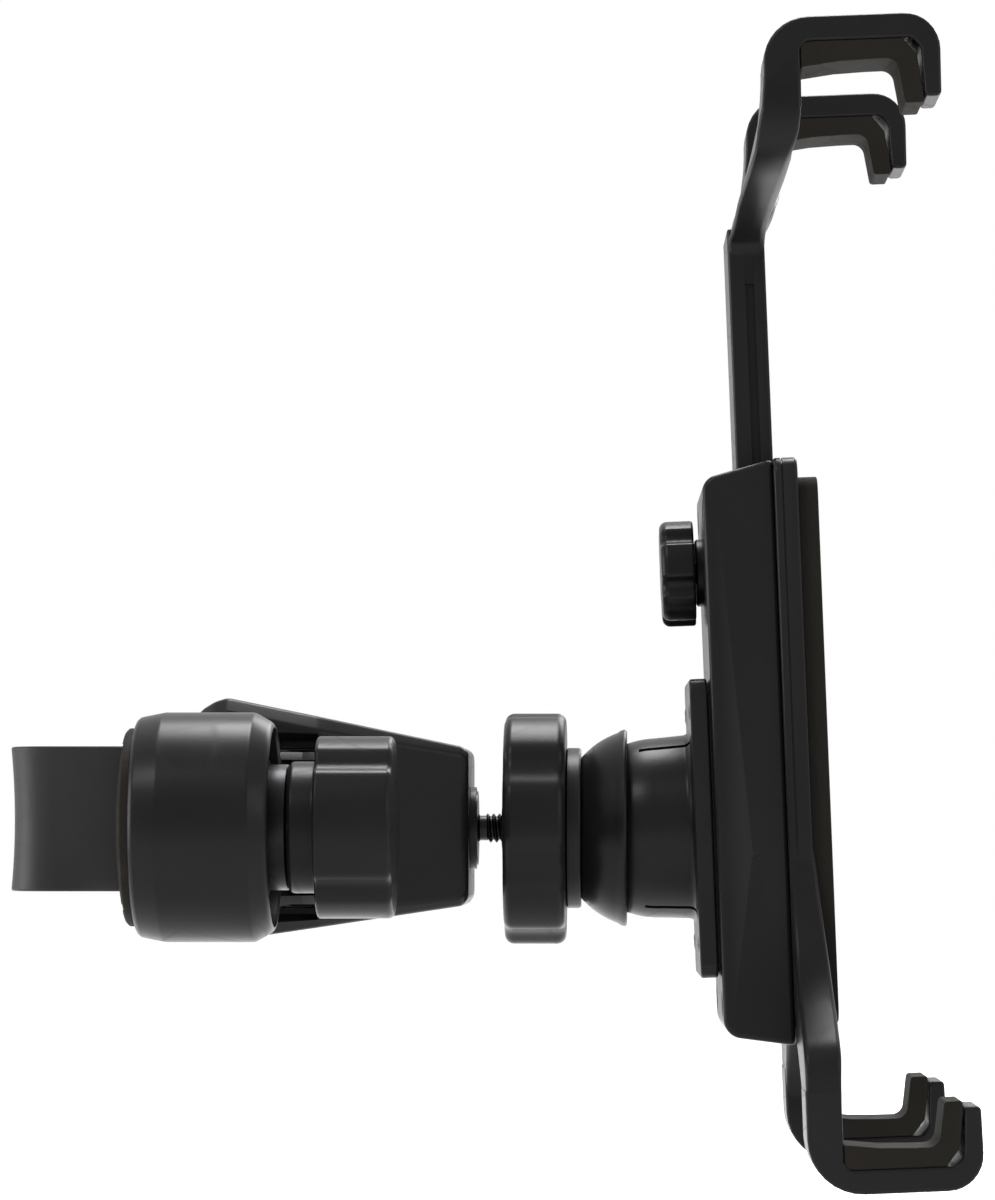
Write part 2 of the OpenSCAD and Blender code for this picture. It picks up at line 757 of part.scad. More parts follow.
// Side view of a claw. z runs from its outer side inwards, so both claws share it.
// The arm's root lies back by a given length, and the outer corner has its own radius.
lip_x = claw_end;
arm_x = claw_x + claw_arm_t;
function claw_outer(root, back, corner) = concat([[claw_x - back, root], [claw_x - back / 4, root - 7]],
    arc([claw_x + corner, corner], corner, 180, 270, 10),
    arc([lip_x - 8, 8], 8, 270, 360, 8),
    [[lip_x - 0.4, lip_l], [lip_x - 0.4 - lip_t, lip_l]]);
function claw_inner(root, back) = concat([[lip_x - 4.8, claw_floor_t + 1.6], [lip_x - 6.6, claw_floor_t]],
    arc([arm_x + 2.4, claw_floor_t + 2.4], 2.4, 270, 180, 6),
    [[arm_x, root - 7], [arm_x - back * 0.4, root]]);

module claw(y, root, back, corner) {
    side_prism(concat(claw_outer(root, back, corner), claw_inner(root, back)),
        -y - claw_w / 2, -y + claw_w / 2);
}

// The soft lining follows the claw's floor and lip, and stands a little past the lip
module claw_lining(y) {
    top = claw_floor_t + lining_t;
    side_prism(concat([[arm_x + 2.4, claw_floor_t], [lip_x - 6.9, claw_floor_t],
        [lip_x - 4.8, claw_floor_t + 2.5], [lip_x - 0.5 - lip_t, lip_l - 0.6],
        [lip_x - 0.6 - lip_t, lip_l + 1.2], [lip_x - 4.4 - lip_t, lip_l + 1.2]],
        arc([lip_x - 11, top + 1.6], 2, 0, -80, 5),
        [[(arm_x + lip_x) / 2 - 4, top - 0.1], [arm_x + 0.15, top + 1], [arm_x + 0.15, claw_floor_t + 1.6]]),
        -y - claw_w / 2 + 0.3, -y + claw_w / 2 - 0.3);
}

// A leg of a fork: its side view cut with its front view of [y, z] points
module leg(side, front) {
    intersection() {
        side_prism(side, -far, far);
        rotate([90, 0, 90]) linear_extrude(far) polygon(front);
    }
}

module at_lower_claw() {
    translate([0, 0, -lower_z]) children();
}

module at_upper_claw() {
    translate([0, 0, upper_z]) mirror([0, 0, 1]) children();
}

// A lower leg leaves the plate's side in a long curve and grows thicker towards its claw
module lower_fork() {
    root = lower_z - 24;
    half_w = plate_w / 2;
    out_y = lower_y + claw_w / 2;
    leg([[plate_x, -4], [front_x, -4], [front_x + 0.7, -12], [front_x + 1.9, -24], [front_x + 2.5, -35],
        [front_x + 2.6, -46], [arm_x, -root - 2], [arm_x, -root - 6], [claw_x, -root - 6]],
        [[0.2 - half_w, -5], [-0.6 - half_w, -14], [-2.8 - half_w, -22.5], [-7 - half_w, -30],
        [-13.5 - half_w, -36.5], [7 - out_y, 10.5 - root], [1.8 - out_y, 5.5 - root], [-out_y, -root],
        [claw_w - out_y, -root - 6], [claw_w + 5.5 - out_y, -root], [2 - half_w, -46.2],
        [14 - half_w, -43.9], [14 - half_w, -36], [2.6 - half_w, -30], [2.6 - half_w, -5]]);
    at_lower_claw() claw(lower_y, 24, 0, 12);
}

module front_plate() color(plastic) {
    recess_w = stem_w + 2 * air;
    in_cradle() difference() {
        union() {
            plate_yz(plate_x, plate_t, plate_w, -44, plate_top, 4);
            lower_fork();
            right_side() lower_fork();
        }
        // room for the soft pad between the legs
        translate([front_x, -front_pad_w / 2 - 0.4, front_pad_low - 0.4])
            cube([far, front_pad_w + 0.8, far]);
        translate([plate_x - 1, -recess_w / 2, stem_low - 60])
            cube([1 + stem_x + stem_t + air - plate_x, recess_w, far]);
        at_housing_screws() rod_x(plate_x - 1, 1.5 + press, 4.2);
    }
}

module front_pad() color(rubber) {
    pitch = (front_pad_top - front_pad_low) / (front_pad_grooves + 1);
    in_cradle() difference() {
        plate_yz(front_x, front_pad_t, front_pad_w, front_pad_low, front_pad_top, 4);
        for (i = [1:front_pad_grooves])
            translate([pad_front_x, 0, front_pad_low + pitch * i])
                rotate([0, 45, 0]) cube([1.1, front_pad_w - 2 * pad_margin, 1.1], center = true);
    }
}

module left_lower_lining() color(rubber) in_cradle() at_lower_claw() claw_lining(lower_y);
module right_lower_lining() color(rubber) in_cradle() right_side() at_lower_claw() claw_lining(lower_y);
module left_upper_lining() color(rubber) in_cradle() at_upper_claw() claw_lining(upper_y);
module right_upper_lining() color(rubber) in_cradle() right_side() at_upper_claw() claw_lining(upper_y);

module upper_fork() {
    root = upper_z - 24;
    out_y = upper_y + claw_w / 2;
    leg([[stem_x + 0.2, 118], [stem_x + stem_t - 0.2, 118], [stem_x + stem_t, 127.2], [stem_x + 9.3, 130.6],
        [stem_x + 11.2, 134.2], [stem_x + 12.9, 137.9], [arm_x - 0.9, root], [arm_x, root + 7],
        [claw_x - 0.6, root + 7], [claw_x - 2.4, root], [stem_x + 4.7, 137.6], [stem_x + 3.2, 134.2],
        [stem_x + 1.6, 130.6], [stem_x + 0.8, 127.2]],
        [[-stem_w / 2, 118], [-stem_w / 2 - 0.5, 123], [-stem_w / 2 - 4.5, 126.6], [-stem_w / 2 - 14, root - 10],
        [11 - out_y, root - 5.2], [3 - out_y, root - 1.6], [-out_y, root + 3.5], [claw_w - out_y, root + 6],
        [claw_w + 5 - out_y, root + 3], [-27, root], [-14, root - 5], [-6, stem_top + 2.5],
        [-4, stem_top + 0.5], [-4, 118]]);
    at_upper_claw() claw(upper_y, 24, 2.4, 9.5);
}

module slider() color(plastic) {
    groove = 1.8;
    in_cradle() difference() {
        union() {
            translate([stem_x, -stem_w / 2, stem_low]) cube([stem_t, stem_w, stem_l]);
            upper_fork();
            right_side() upper_fork();
        }
        // grooves along both sides of the stem
        for (side = [-1, 1])
            translate([stem_x + 3.5, side * (stem_w / 2) - 0.9, stem_low - 1])
                cube([groove, 1.8, stem_l - 18]);
    }
}

// Lock of the slider

module lock_knob() color(plastic) {
    knob_x0 = housing_x - lock_boss - air - lock_knob_l;
    in_cradle() translate([0, 0, lock_z]) difference() {
        lobed_body(knob_x0, lock_knob_r, lock_knob_l, lock_lobes, 2.6, 1.3, 17, 1.6);
        rod_x(knob_x0 + 2.5, lock_screw_r + press, far);
    }
}

module lock_screw() color(steel) {
    knob_x0 = housing_x - lock_boss - air - lock_knob_l;
    in_cradle() translate([0, 0, lock_z])
        rod_x(knob_x0 + 2.5, lock_screw_r, stem_x - air - knob_x0 - 2.5);
}

module lock_nut() color(steel) {
    in_cradle() translate([0, 0, lock_z]) difference() {
        hex_x(stem_x - air - 4, 8, 3.9);
        rod_x(0, lock_screw_r + running, far);
    }
}

hub();
left_pivot_pin();
right_pivot_pin();
stud();
ball();
stud_nut();
stud_washer();
push_ring();
left_arm();
left_grip_pad();
left_clamp_washer();
right_arm();
right_grip_pad();
right_clamp_washer();
left_hook();
left_hook_rod();
right_hook();
right_hook_rod();
left_clamp_knob();
left_knob_nut();
right_clamp_knob();
right_knob_nut();
hand_nut();
hand_nut_insert();
pressure_cup();
thrust_ring();
socket_base();
base_screws();
rear_housing();
housing_screws();
front_plate();
front_pad();
left_lower_lining();
right_lower_lining();
slider();
left_upper_lining();
right_upper_lining();
lock_knob();
lock_screw();
lock_nut();
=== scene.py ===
import bpy, bmesh, json, math
from mathutils import Matrix, Vector


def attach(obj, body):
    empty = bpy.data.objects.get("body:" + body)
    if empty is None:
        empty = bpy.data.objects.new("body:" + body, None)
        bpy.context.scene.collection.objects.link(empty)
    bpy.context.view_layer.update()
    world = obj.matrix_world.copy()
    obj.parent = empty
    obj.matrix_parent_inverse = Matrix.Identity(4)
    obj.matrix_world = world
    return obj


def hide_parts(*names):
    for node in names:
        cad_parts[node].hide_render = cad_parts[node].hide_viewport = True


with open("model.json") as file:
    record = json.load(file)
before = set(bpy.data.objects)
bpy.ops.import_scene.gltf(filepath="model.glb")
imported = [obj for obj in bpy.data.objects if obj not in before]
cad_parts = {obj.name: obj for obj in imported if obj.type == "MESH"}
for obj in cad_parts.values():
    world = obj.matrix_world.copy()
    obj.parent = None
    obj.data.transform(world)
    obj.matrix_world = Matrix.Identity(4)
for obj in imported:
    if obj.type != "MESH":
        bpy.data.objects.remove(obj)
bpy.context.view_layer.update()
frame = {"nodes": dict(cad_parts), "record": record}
scene = bpy.context.scene
print("frame loaded:", len(frame["nodes"]), "nodes")

# pieces are drawn in millimetres; these two bring them to the object's frame in metres
toObject = Matrix.Scale(0.001, 4)
toCradle = (Matrix.Scale(0.001, 4) @ Matrix.Translation((120.5, 0, 0))
            @ Matrix.Rotation(math.radians(0.7), 4, "Z") @ Matrix.Rotation(math.radians(-2.3), 4, "Y"))


def setInputs(node, inputs):
    for name, value in inputs.items():
        node.inputs[name].default_value = value


def addNode(tree, kind, inputs={}, **settings):
    node = tree.nodes.new(kind)
    for name, value in settings.items():
        setattr(node, name, value)
    setInputs(node, inputs)
    return node


def newMaterial(name, inputs):
    mat = bpy.data.materials.new(name)
    mat.use_nodes = True
    shader = mat.node_tree.nodes["Principled BSDF"]
    setInputs(shader, inputs)
    return mat, mat.node_tree, shader


def rampBetween(tree, low, lowColour, high, highColour):
    ramp = addNode(tree, "ShaderNodeValToRGB")
    first, last = ramp.color_ramp.elements
    first.position, first.color = low, (*lowColour, 1)
    last.position, last.color = high, (*highColour, 1)
    return ramp


def mouldedPlastic(look):
    # black moulding: cloudy colour, spark-eroded grain, rubbed patches, scuffs, and a painted highlight that makes
    # sharp edges paler
    mat, tree, shader = newMaterial(look["name"], {"Specular IOR Level": look["specular"]})
    link = tree.links.new
    coords = addNode(tree, "ShaderNodeTexCoord")
    clouds = addNode(tree, "ShaderNodeTexNoise", {"Scale": 42, "Detail": 6, "Roughness": 0.62})
    grain = addNode(tree, "ShaderNodeTexNoise", {"Scale": look["grainSize"], "Detail": 3})
    scuffs = addNode(tree, "ShaderNodeTexVoronoi", {"Scale": 60}, feature="DISTANCE_TO_EDGE")
    warp = addNode(tree, "ShaderNodeVectorMath", {1: (1.0, 0.35, 2.4)}, operation="MULTIPLY")
    scuffMask = rampBetween(tree, 0.0, (1, 1, 1), 0.03, (0, 0, 0))
    where = addNode(tree, "ShaderNodeMath", operation="MULTIPLY")
    colour = rampBetween(tree, 0.3, look["dark"], 0.72, look["light"])
    # painted highlight: the look's edge colour is mixed in where pointiness finds a sharp edge
    edges = addNode(tree, "ShaderNodeNewGeometry")
    paintedHighlightMask = rampBetween(tree, 0.5, (0, 0, 0), 0.62, (1, 1, 1))
    paintedHighlightMix = addNode(tree, "ShaderNodeMix", {"B": (*look["edge"], 1)}, data_type="RGBA")
    paintedHighlightShare = addNode(tree, "ShaderNodeMath", {1: 0.55}, operation="MULTIPLY")
    rough = addNode(tree, "ShaderNodeMapRange", {"To Min": look["roughness"][0], "To Max": look["roughness"][1]})
    roughScuff = addNode(tree, "ShaderNodeMath", {1: 0.12}, operation="MULTIPLY_ADD")
    bump = addNode(tree, "ShaderNodeBump", {"Strength": look["grainStrength"], "Distance": look["grainDepth"]})
    for texture in (clouds, grain):
        link(coords.outputs["Object"], texture.inputs["Vector"])
    link(coords.outputs["Object"], warp.inputs[0])
    link(warp.outputs[0], scuffs.inputs["Vector"])
    link(scuffs.outputs["Distance"], scuffMask.inputs["Fac"])
    link(scuffMask.outputs["Color"], where.inputs[0])
    link(clouds.outputs["Fac"], where.inputs[1])
    link(clouds.outputs["Fac"], colour.inputs["Fac"])
    link(edges.outputs["Pointiness"], paintedHighlightMask.inputs["Fac"])
    link(paintedHighlightMask.outputs["Color"], paintedHighlightShare.inputs[0])
    link(paintedHighlightShare.outputs[0], paintedHighlightMix.inputs["Factor"])
    link(colour.outputs["Color"], paintedHighlightMix.inputs["A"])
    link(clouds.outputs["Fac"], rough.inputs["Value"])
    link(where.outputs[0], roughScuff.inputs[0])
    link(rough.outputs["Result"], roughScuff.inputs[2])
    link(roughScuff.outputs[0], shader.inputs["Roughness"])
    link(paintedHighlightMix.outputs["Result"], shader.inputs["Base Color"])
    link(grain.outputs["Fac"], bump.inputs["Height"])
    link(bump.outputs["Normal"], shader.inputs["Normal"])
    return mat


def turnedMetal(look):
    # turned and blackened metal: fine rings and faint blotches from handling
    mat, tree, shader = newMaterial(look["name"], {"Metallic": 1.0})
    link = tree.links.new
    coords = addNode(tree, "ShaderNodeTexCoord")
    stretch = addNode(tree, "ShaderNodeVectorMath", {1: (9.0, 1.0, 1.0)}, operation="MULTIPLY")
    rings = addNode(tree, "ShaderNodeTexNoise", {"Scale": 420, "Detail": 3})
    blotch = addNode(tree, "ShaderNodeTexNoise", {"Scale": 90})
    colour = rampBetween(tree, 0.32, look["dark"], 0.7, look["light"])
    rough = addNode(tree, "ShaderNodeMapRange", {"To Min": look["roughness"][0], "To Max": look["roughness"][1]})
    bump = addNode(tree, "ShaderNodeBump", {"Strength": 0.25, "Distance": 0.00005})
    link(coords.outputs["Object"], stretch.inputs[0])
    link(stretch.outputs[0], rings.inputs["Vector"])
    link(coords.outputs["Object"], blotch.inputs["Vector"])
    link(blotch.outputs["Fac"], colour.inputs["Fac"])
    link(rings.outputs["Fac"], rough.inputs["Value"])
    link(colour.outputs["Color"], shader.inputs["Base Color"])
    link(rough.outputs["Result"], shader.inputs["Roughness"])
    link(rings.outputs["Fac"], bump.inputs["Height"])
    link(bump.outputs["Normal"], shader.inputs["Normal"])
    return mat


# each look's edge colour is a painted highlight on its sharp edges
finishes = {
    "black_plastic": mouldedPlastic({"name": "mouldedBlack", "dark": (0.0058, 0.0058, 0.006),
        "light": (0.0088, 0.0088, 0.009), "edge": (0.026, 0.026, 0.027), "roughness": (0.26, 0.38),
        "grainSize": 2600, "grainDepth": 0.00006, "grainStrength": 0.25, "specular": 0.11}),
    "knob_plastic": mouldedPlastic({"name": "knobBlack", "dark": (0.0062, 0.0062, 0.0063),
        "light": (0.0092, 0.0092, 0.0094), "edge": (0.028, 0.028, 0.029), "roughness": (0.26, 0.4),
        "grainSize": 2200, "grainDepth": 0.00006, "grainStrength": 0.3, "specular": 0.1}),
    "hook_plastic": mouldedPlastic({"name": "hookBlack", "dark": (0.0105, 0.0105, 0.0108),
        "light": (0.0155, 0.0155, 0.0158), "edge": (0.03, 0.03, 0.031), "roughness": (0.4, 0.5),
        "grainSize": 3200, "grainDepth": 0.00002, "grainStrength": 0.2, "specular": 0.19}),
    "socket_plastic": mouldedPlastic({"name": "socketBlack", "dark": (0.006, 0.006, 0.006),
        "light": (0.0095, 0.0095, 0.0095), "edge": (0.023, 0.023, 0.023), "roughness": (0.3, 0.44),
        "grainSize": 2400, "grainDepth": 0.00005, "grainStrength": 0.25, "specular": 0.11}),
    "pad_rubber": mouldedPlastic({"name": "padRubber", "dark": (0.0075, 0.0067, 0.0055),
        "light": (0.0128, 0.011, 0.009), "edge": (0.026, 0.022, 0.018), "roughness": (0.62, 0.8),
        "grainSize": 1300, "grainDepth": 0.00014, "grainStrength": 0.45, "specular": 0.1}),
    "black_steel": turnedMetal({"name": "blackenedSteel", "dark": (0.009, 0.009, 0.0095),
        "light": (0.026, 0.026, 0.028), "roughness": (0.25, 0.45)}),
    "insert_brass": turnedMetal({"name": "turnedBrass", "dark": (0.6, 0.42, 0.17),
        "light": (0.75, 0.55, 0.26), "roughness": (0.25, 0.4)}),
}
slotOf = {part["node"]: part["material_slot"] for part in frame["record"]["subparts"]}
bodyOf = {node: body for body, nodes in frame["record"]["behaviour"]["bodies"].items() for node in nodes}
for nodeName, cadNode in frame["nodes"].items():
    cadNode.data.materials.clear()
    cadNode.data.materials.append(finishes[slotOf[nodeName]])
print("materials done")


# shaping

def pulledOutline(bm, corners, pull):
    # corners are (point, rounding); the outline is filled, its corners rounded, and pulled to a slab
    before = set(bm.faces)
    verts = [bm.verts.new(point) for point, _ in corners]
    bm.faces.new(verts)
    for vert, (_, size) in zip(verts, corners):
        if size:
            bmesh.ops.bevel(bm, geom=[vert], offset=size, offset_type="OFFSET", segments=8,
                            profile=0.5, affect="VERTICES", material=-1)
    face = [f for f in bm.faces if f not in before]
    pulled = bmesh.ops.extrude_face_region(bm, geom=face)["geom"]
    bmesh.ops.translate(bm, vec=pull, verts=[g for g in pulled if isinstance(g, bmesh.types.BMVert)])


def sideSlab(bm, corners, yNear, yFar):
    # a side view of (x, z, rounding) corners
    pulledOutline(bm, [((x, yNear, z), r) for x, z, r in corners], (0, yFar - yNear, 0))


def facePlate(bm, corners, xBack, xFront):
    # a front view of (y, z, rounding) corners
    pulledOutline(bm, [((xBack, y, z), r) for y, z, r in corners], (xFront - xBack, 0, 0))


def block(bm, low, high):
    cube = bmesh.ops.create_cube(bm, size=1.0)["verts"]
    bmesh.ops.scale(bm, vec=[h - l for l, h in zip(low, high)], verts=cube)
    bmesh.ops.translate(bm, vec=[(h + l) / 2 for l, h in zip(low, high)], verts=cube)


def rodAlongX(bm, radius, xBack, xFront, y=0.0, z=0.0, sides=64):
    verts = bmesh.ops.create_cone(bm, cap_ends=True, segments=sides, radius1=radius, radius2=radius,
                                  depth=xFront - xBack)["verts"]
    bmesh.ops.rotate(bm, cent=(0, 0, 0), matrix=Matrix.Rotation(math.radians(90), 3, "Y"), verts=verts)
    bmesh.ops.translate(bm, vec=((xBack + xFront) / 2, y, z), verts=verts)


def rodAlongZ(bm, radius, zLow, zHigh, x, y, sides=64):
    verts = bmesh.ops.create_cone(bm, cap_ends=True, segments=sides, radius1=radius, radius2=radius,
                                  depth=zHigh - zLow)["verts"]
    bmesh.ops.translate(bm, vec=(x, y, (zLow + zHigh) / 2), verts=verts)


def turned(bm, profile, y=0.0, z=0.0, steps=128):
    # a closed profile of (radius, x) points, turned about the X direction through y, z
    verts = [bm.verts.new((x, y, z + radius)) for radius, x in profile]
    edges = [bm.edges.new((verts[i - 1], verts[i])) for i in range(len(verts))]
    bmesh.ops.spin(bm, geom=verts + edges, cent=(0, y, z), axis=(1, 0, 0), dvec=(0, 0, 0),
                   angle=math.tau, steps=steps, use_merge=True, use_duplicate=False)


def rounding(radius, x, size, start, end, steps=7):
    # points of a round edge in a turned profile, centred at (radius, x)
    return [(radius + size * math.cos(math.radians(start + (end - start) * i / steps)),
             x + size * math.sin(math.radians(start + (end - start) * i / steps))) for i in range(steps + 1)]


def lobedHead(bm, knob, y=0.0, z=0.0):
    # a disc with finger grooves between its lobes, softened, then extruded along X over both round edges
    ring = bmesh.ops.create_circle(bm, cap_ends=True, radius=knob["radius"],
                                   segments=knob["lobes"] * 36)["verts"]
    reach = knob["radius"] - knob["grooveDepth"] + knob["grooveRadius"]
    for vert in ring:
        around = math.atan2(vert.co.y, vert.co.x)
        for i in range(knob["lobes"]):
            groove = math.radians(180 + knob["firstGroove"] + 360 / knob["lobes"] * i)
            across = reach * math.sin(around - groove)
            if math.cos(around - groove) > 0 and abs(across) < knob["grooveRadius"]:
                inner = reach * math.cos(around - groove) - math.sqrt(knob["grooveRadius"] ** 2 - across ** 2)
                if inner < vert.co.length:
                    vert.co *= inner / vert.co.length
    for _ in range(knob["softening"]):
        bmesh.ops.smooth_vert(bm, verts=ring, factor=0.5, use_axis_x=True, use_axis_y=True, use_axis_z=False)
    face = ring[0].link_faces[0]
    outline, rim = [v.co.copy() for v in face.verts], face.edges[:]
    back, front, end = knob["backRound"], knob["frontRound"], knob["back"] + knob["length"]
    quarter = [math.radians(15 * i) for i in range(7)]
    stations = ([(back * (1 - math.sin(a)), knob["back"] + back * (1 - math.cos(a))) for a in quarter]
                + [(front * (1 - math.cos(a)), end - front * (1 - math.sin(a))) for a in quarter])
    for i, (inset, along) in enumerate(stations):
        if i > 0:
            face = bmesh.ops.extrude_discrete_faces(bm, faces=[face])["faces"][0]
        for vert, point in zip(face.verts, outline):
            slim = 1 - inset / point.length
            vert.co = (along, y + point.x * slim, z + point.y * slim)
    bmesh.ops.contextual_create(bm, geom=rim)


def smoothStations(stations, steps):
    # stations of a bent arm, with points between them on a smooth curve
    result, last = [], len(stations) - 1
    for i in range(last):
        before, here, there, after = [Vector(stations[k]) for k in (max(i - 1, 0), i, i + 1, min(i + 2, last))]
        for k in range(steps):
            t = k / steps
            result.append(0.5 * (2 * here + (there - before) * t
                                 + (2 * before - 5 * here + 4 * there - after) * t * t
                                 + (3 * here - before - 3 * there + after) * t ** 3))
    return result + [Vector(stations[last])]


def bentArm(bm, sections):
    # each section is four corner points; a face is extruded from one to the next and both ends closed
    first = [bm.verts.new(p) for p in sections[0]]
    startEdges = [bm.edges.new((first[i - 1], first[i])) for i in range(4)]
    face = bm.faces.new(first)
    for corners in sections[1:]:
        face = bmesh.ops.extrude_discrete_faces(bm, faces=[face])["faces"][0]
        for vert, corner in zip(face.verts, corners):
            vert.co = corner
    return [face] + bmesh.ops.contextual_create(bm, geom=startEdges)["faces"]


def soften(bm, size, segments=3, sharp=40, ends=()):
    # rounds all edges that are sharper than the given angle, but none of the end faces'
    bmesh.ops.remove_doubles(bm, verts=bm.verts, dist=0.001)
    bmesh.ops.recalc_face_normals(bm, faces=bm.faces)
    edges = [e for e in bm.edges if len(e.link_faces) == 2 and e.calc_face_angle() > math.radians(sharp)
             and not any(f in ends for f in e.link_faces)]
    bmesh.ops.bevel(bm, geom=edges, offset=size, offset_type="OFFSET", segments=segments, profile=0.5,
                    affect="EDGES", clamp_overlap=True, material=-1)


def shape(*steps):
    # runs the drawing steps into one bmesh
    bm = bmesh.new()
    for step in steps:
        step(bm)
    return bm


def asObject(name, bm):
    bmesh.ops.remove_doubles(bm, verts=bm.verts, dist=0.001)
    bmesh.ops.recalc_face_normals(bm, faces=bm.faces)
    mesh = bpy.data.meshes.new(name)
    bm.to_mesh(mesh)
    bm.free()
    piece = bpy.data.objects.new(name, mesh)
    scene.collection.objects.link(piece)
    return piece


def cutOut(piece, tool, operation="DIFFERENCE"):
    # takes the tool out of the piece, or joins it on, and throws the tool away
    cut = piece.modifiers.new("cut", "BOOLEAN")
    cut.operation, cut.solver, cut.object = operation, "EXACT", tool
    bpy.context.view_layer.update()
    result = bpy.data.meshes.new_from_object(piece.evaluated_get(bpy.context.evaluated_depsgraph_get()))
    piece.modifiers.clear()
    old, piece.data = piece.data, result
    bpy.data.meshes.remove(old)
    bpy.data.objects.remove(tool)


def mirror(piece):
    piece.data.transform(Matrix.Scale(-1, 4, (0, 1, 0)))
    piece.data.flip_normals()


def place(piece, nodes, matrix, flip=False, crease=38):
    # brings the piece to the object's frame, smooths its shading, and puts it in the nodes' stead
    if flip:
        mirror(piece)
    piece.data.transform(matrix)
    for polygon in piece.data.polygons:
        polygon.use_smooth = True
    piece.data.set_sharp_from_angle(angle=math.radians(crease))
    shading = piece.modifiers.new("shading", "WEIGHTED_NORMAL")
    shading.keep_sharp = True
    piece.data.materials.clear()
    piece.data.materials.append(finishes[slotOf[nodes[0]]])
    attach(piece, bodyOf[nodes[0]])
    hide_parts(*nodes)


# the clamps, drawn on the left side and mirrored for the right

bothSides = (("left", False), ("right", True))
hook = {"postRadius": 7.0, "band": 3.2, "bottom": -12.8, "top": 16.2, "waist": 0.7, "postY": -70.0,
        "rootBack": 9.2, "rootFront": 17.2, "rootSide": -62.0, "edge": 0.45}


def drawHookBand(bm):
    # a hollow-sided band section, spun half round the post, then drawn out straight to the root
    inner, outer = hook["postRadius"], hook["postRadius"] + hook["band"]
    low, high, middle = hook["bottom"], hook["top"], (hook["bottom"] + hook["top"]) / 2
    half = (high - low) / 2
    points = [(inner, low), (inner, high)]
    for i in range(13):
        z = high - (high - low) * i / 12
        points.append((outer - hook["waist"] * (1 - ((z - middle) / half) ** 2), z))
    verts = [bm.verts.new((0, hook["postY"] + r, z)) for r, z in points]
    edges = [bm.edges.new((verts[i - 1], verts[i])) for i in range(len(verts))]
    last = bmesh.ops.spin(bm, geom=verts + edges, cent=(0, hook["postY"], 0), axis=(0, 0, 1), dvec=(0, 0, 0),
                          angle=math.pi, steps=48, use_merge=False, use_duplicate=False)["geom_last"]
    bmesh.ops.contextual_create(bm, geom=edges)
    end = [g for g in last if isinstance(g, bmesh.types.BMEdge)]
    for x, flatter in ((2.5, 0.35), (5.0, 0.6), (9.0, 1.0), (hook["rootFront"], 1.0)):
        grown = bmesh.ops.extrude_edge_only(bm, edges=end)["geom"]
        end = [g for g in grown if isinstance(g, bmesh.types.BMEdge)
               and all(v in grown for v in g.verts)]
        for vert in {v for e in end for v in e.verts}:
            vert.co.x = x
            if vert.co.y < hook["postY"] - inner - 0.5:
                vert.co.y += (hook["postY"] - outer - vert.co.y) * flatter
    bmesh.ops.contextual_create(bm, geom=end)
    soften(bm, hook["edge"], 3, 50)


def drawHookRoot(bm):
    block(bm, (hook["rootBack"], hook["postY"] - hook["postRadius"] - hook["band"] / 2, hook["bottom"] + 0.1),
          (hook["rootFront"] - 0.1, hook["rootSide"], hook["top"] - 0.1))
    soften(bm, 0.4, 2, 50)


for side, flip in bothSides:
    band = asObject(side + "HookBand", shape(drawHookBand))
    cutOut(band, asObject(side + "HookRoot", shape(drawHookRoot)), "UNION")
    place(band, [side + "_hook"], toObject, flip)
print("hooks done")

arm = {"postY": -70.0, "barrel": 23.2, "back": 15.4, "end": 42.9, "height": 28.8,
       "pin": (60.0, -9.0), "pinHole": 3.05, "eye": 8.0,
       "link": ((60.0, -9.0, 7.6), (53.0, -11.8, 6.4), (45.5, -15.5, 5.8), (39.2, -22.5, 5.8),
                (34.4, -31.5, 6.2), (31.0, -41.0, 7.4), (28.0, -51.0, 9.0)), "edge": 0.6}
rootWindow = {"near": -80.5, "far": -61.7, "low": -13.1, "high": 16.5, "front": 21.8}


def drawRootWindow(bm, xBack):
    # the opening that the hook's root slides in
    block(bm, (xBack, rootWindow["near"], rootWindow["low"]),
          (rootWindow["front"], rootWindow["far"], rootWindow["high"]))


def drawBarrel(bm):
    big, back, end = arm["barrel"], arm["back"], arm["end"]
    turned(bm, [(4.3, back), (21.2, back), (21.75, back + 0.25), (22.2, back + 0.8), (22.3, back + 1.1),
                (big - 0.1, back + 5.1), (big, back + 5.7), (big, end - 4.2), (big - 0.15, end - 3.6),
                (big - 1.7, end - 0.9), (big - 2.2, end - 0.3), (big - 2.7, end), (20.1, end), (19.7, end - 0.5),
                (19.7, end - 3.2), (13.8, end - 3.2), (13.8, end - 1.2), (4.3, end - 1.2)], arm["postY"])


def drawLink(bm):
    path = smoothStations(arm["link"], 5)
    sections = []
    for i, (x, y, half) in enumerate(path):
        ahead = path[min(i + 1, len(path) - 1)] - path[max(i - 1, 0)]
        side = Vector((-ahead.y, ahead.x, 0)).normalized() * half
        up = Vector((0, 0, arm["height"] / 2))
        sections.append([Vector((x, y, 0)) + p for p in (-side - up, side - up, side + up, -side + up)])
    soften(bm, arm["edge"], 3, 50, bentArm(bm, sections))


for side, flip in bothSides:
    piece = asObject(side + "Arm", shape(drawBarrel))
    cutOut(piece, asObject("rootWindow", shape(lambda bm: drawRootWindow(bm, 13.0))))
    cutOut(piece, asObject("link", shape(drawLink)), "UNION")
    eyeHalf = arm["height"] / 2 + 0.05
    eye = shape(lambda bm: rodAlongZ(bm, arm["eye"], -eyeHalf, eyeHalf, *arm["pin"]),
                lambda bm: soften(bm, 0.6, 2, 50))
    cutOut(piece, asObject("eye", eye), "UNION")
    cutOut(piece, asObject("pinHole", shape(lambda bm: rodAlongZ(bm, arm["pinHole"], -40, 40, *arm["pin"]))))
    place(piece, [side + "_arm"], toObject, flip)
print("arms done")

gripPad = {"postY": -70.0, "radius": 20.0, "nose": 11.4, "crown": 2.0, "crownShare": 0.97, "rim": 13.9,
           "front": 15.35, "bore": 4.6, "grooves": 9, "grooveWide": 1.3, "grooveDeep": 0.8}


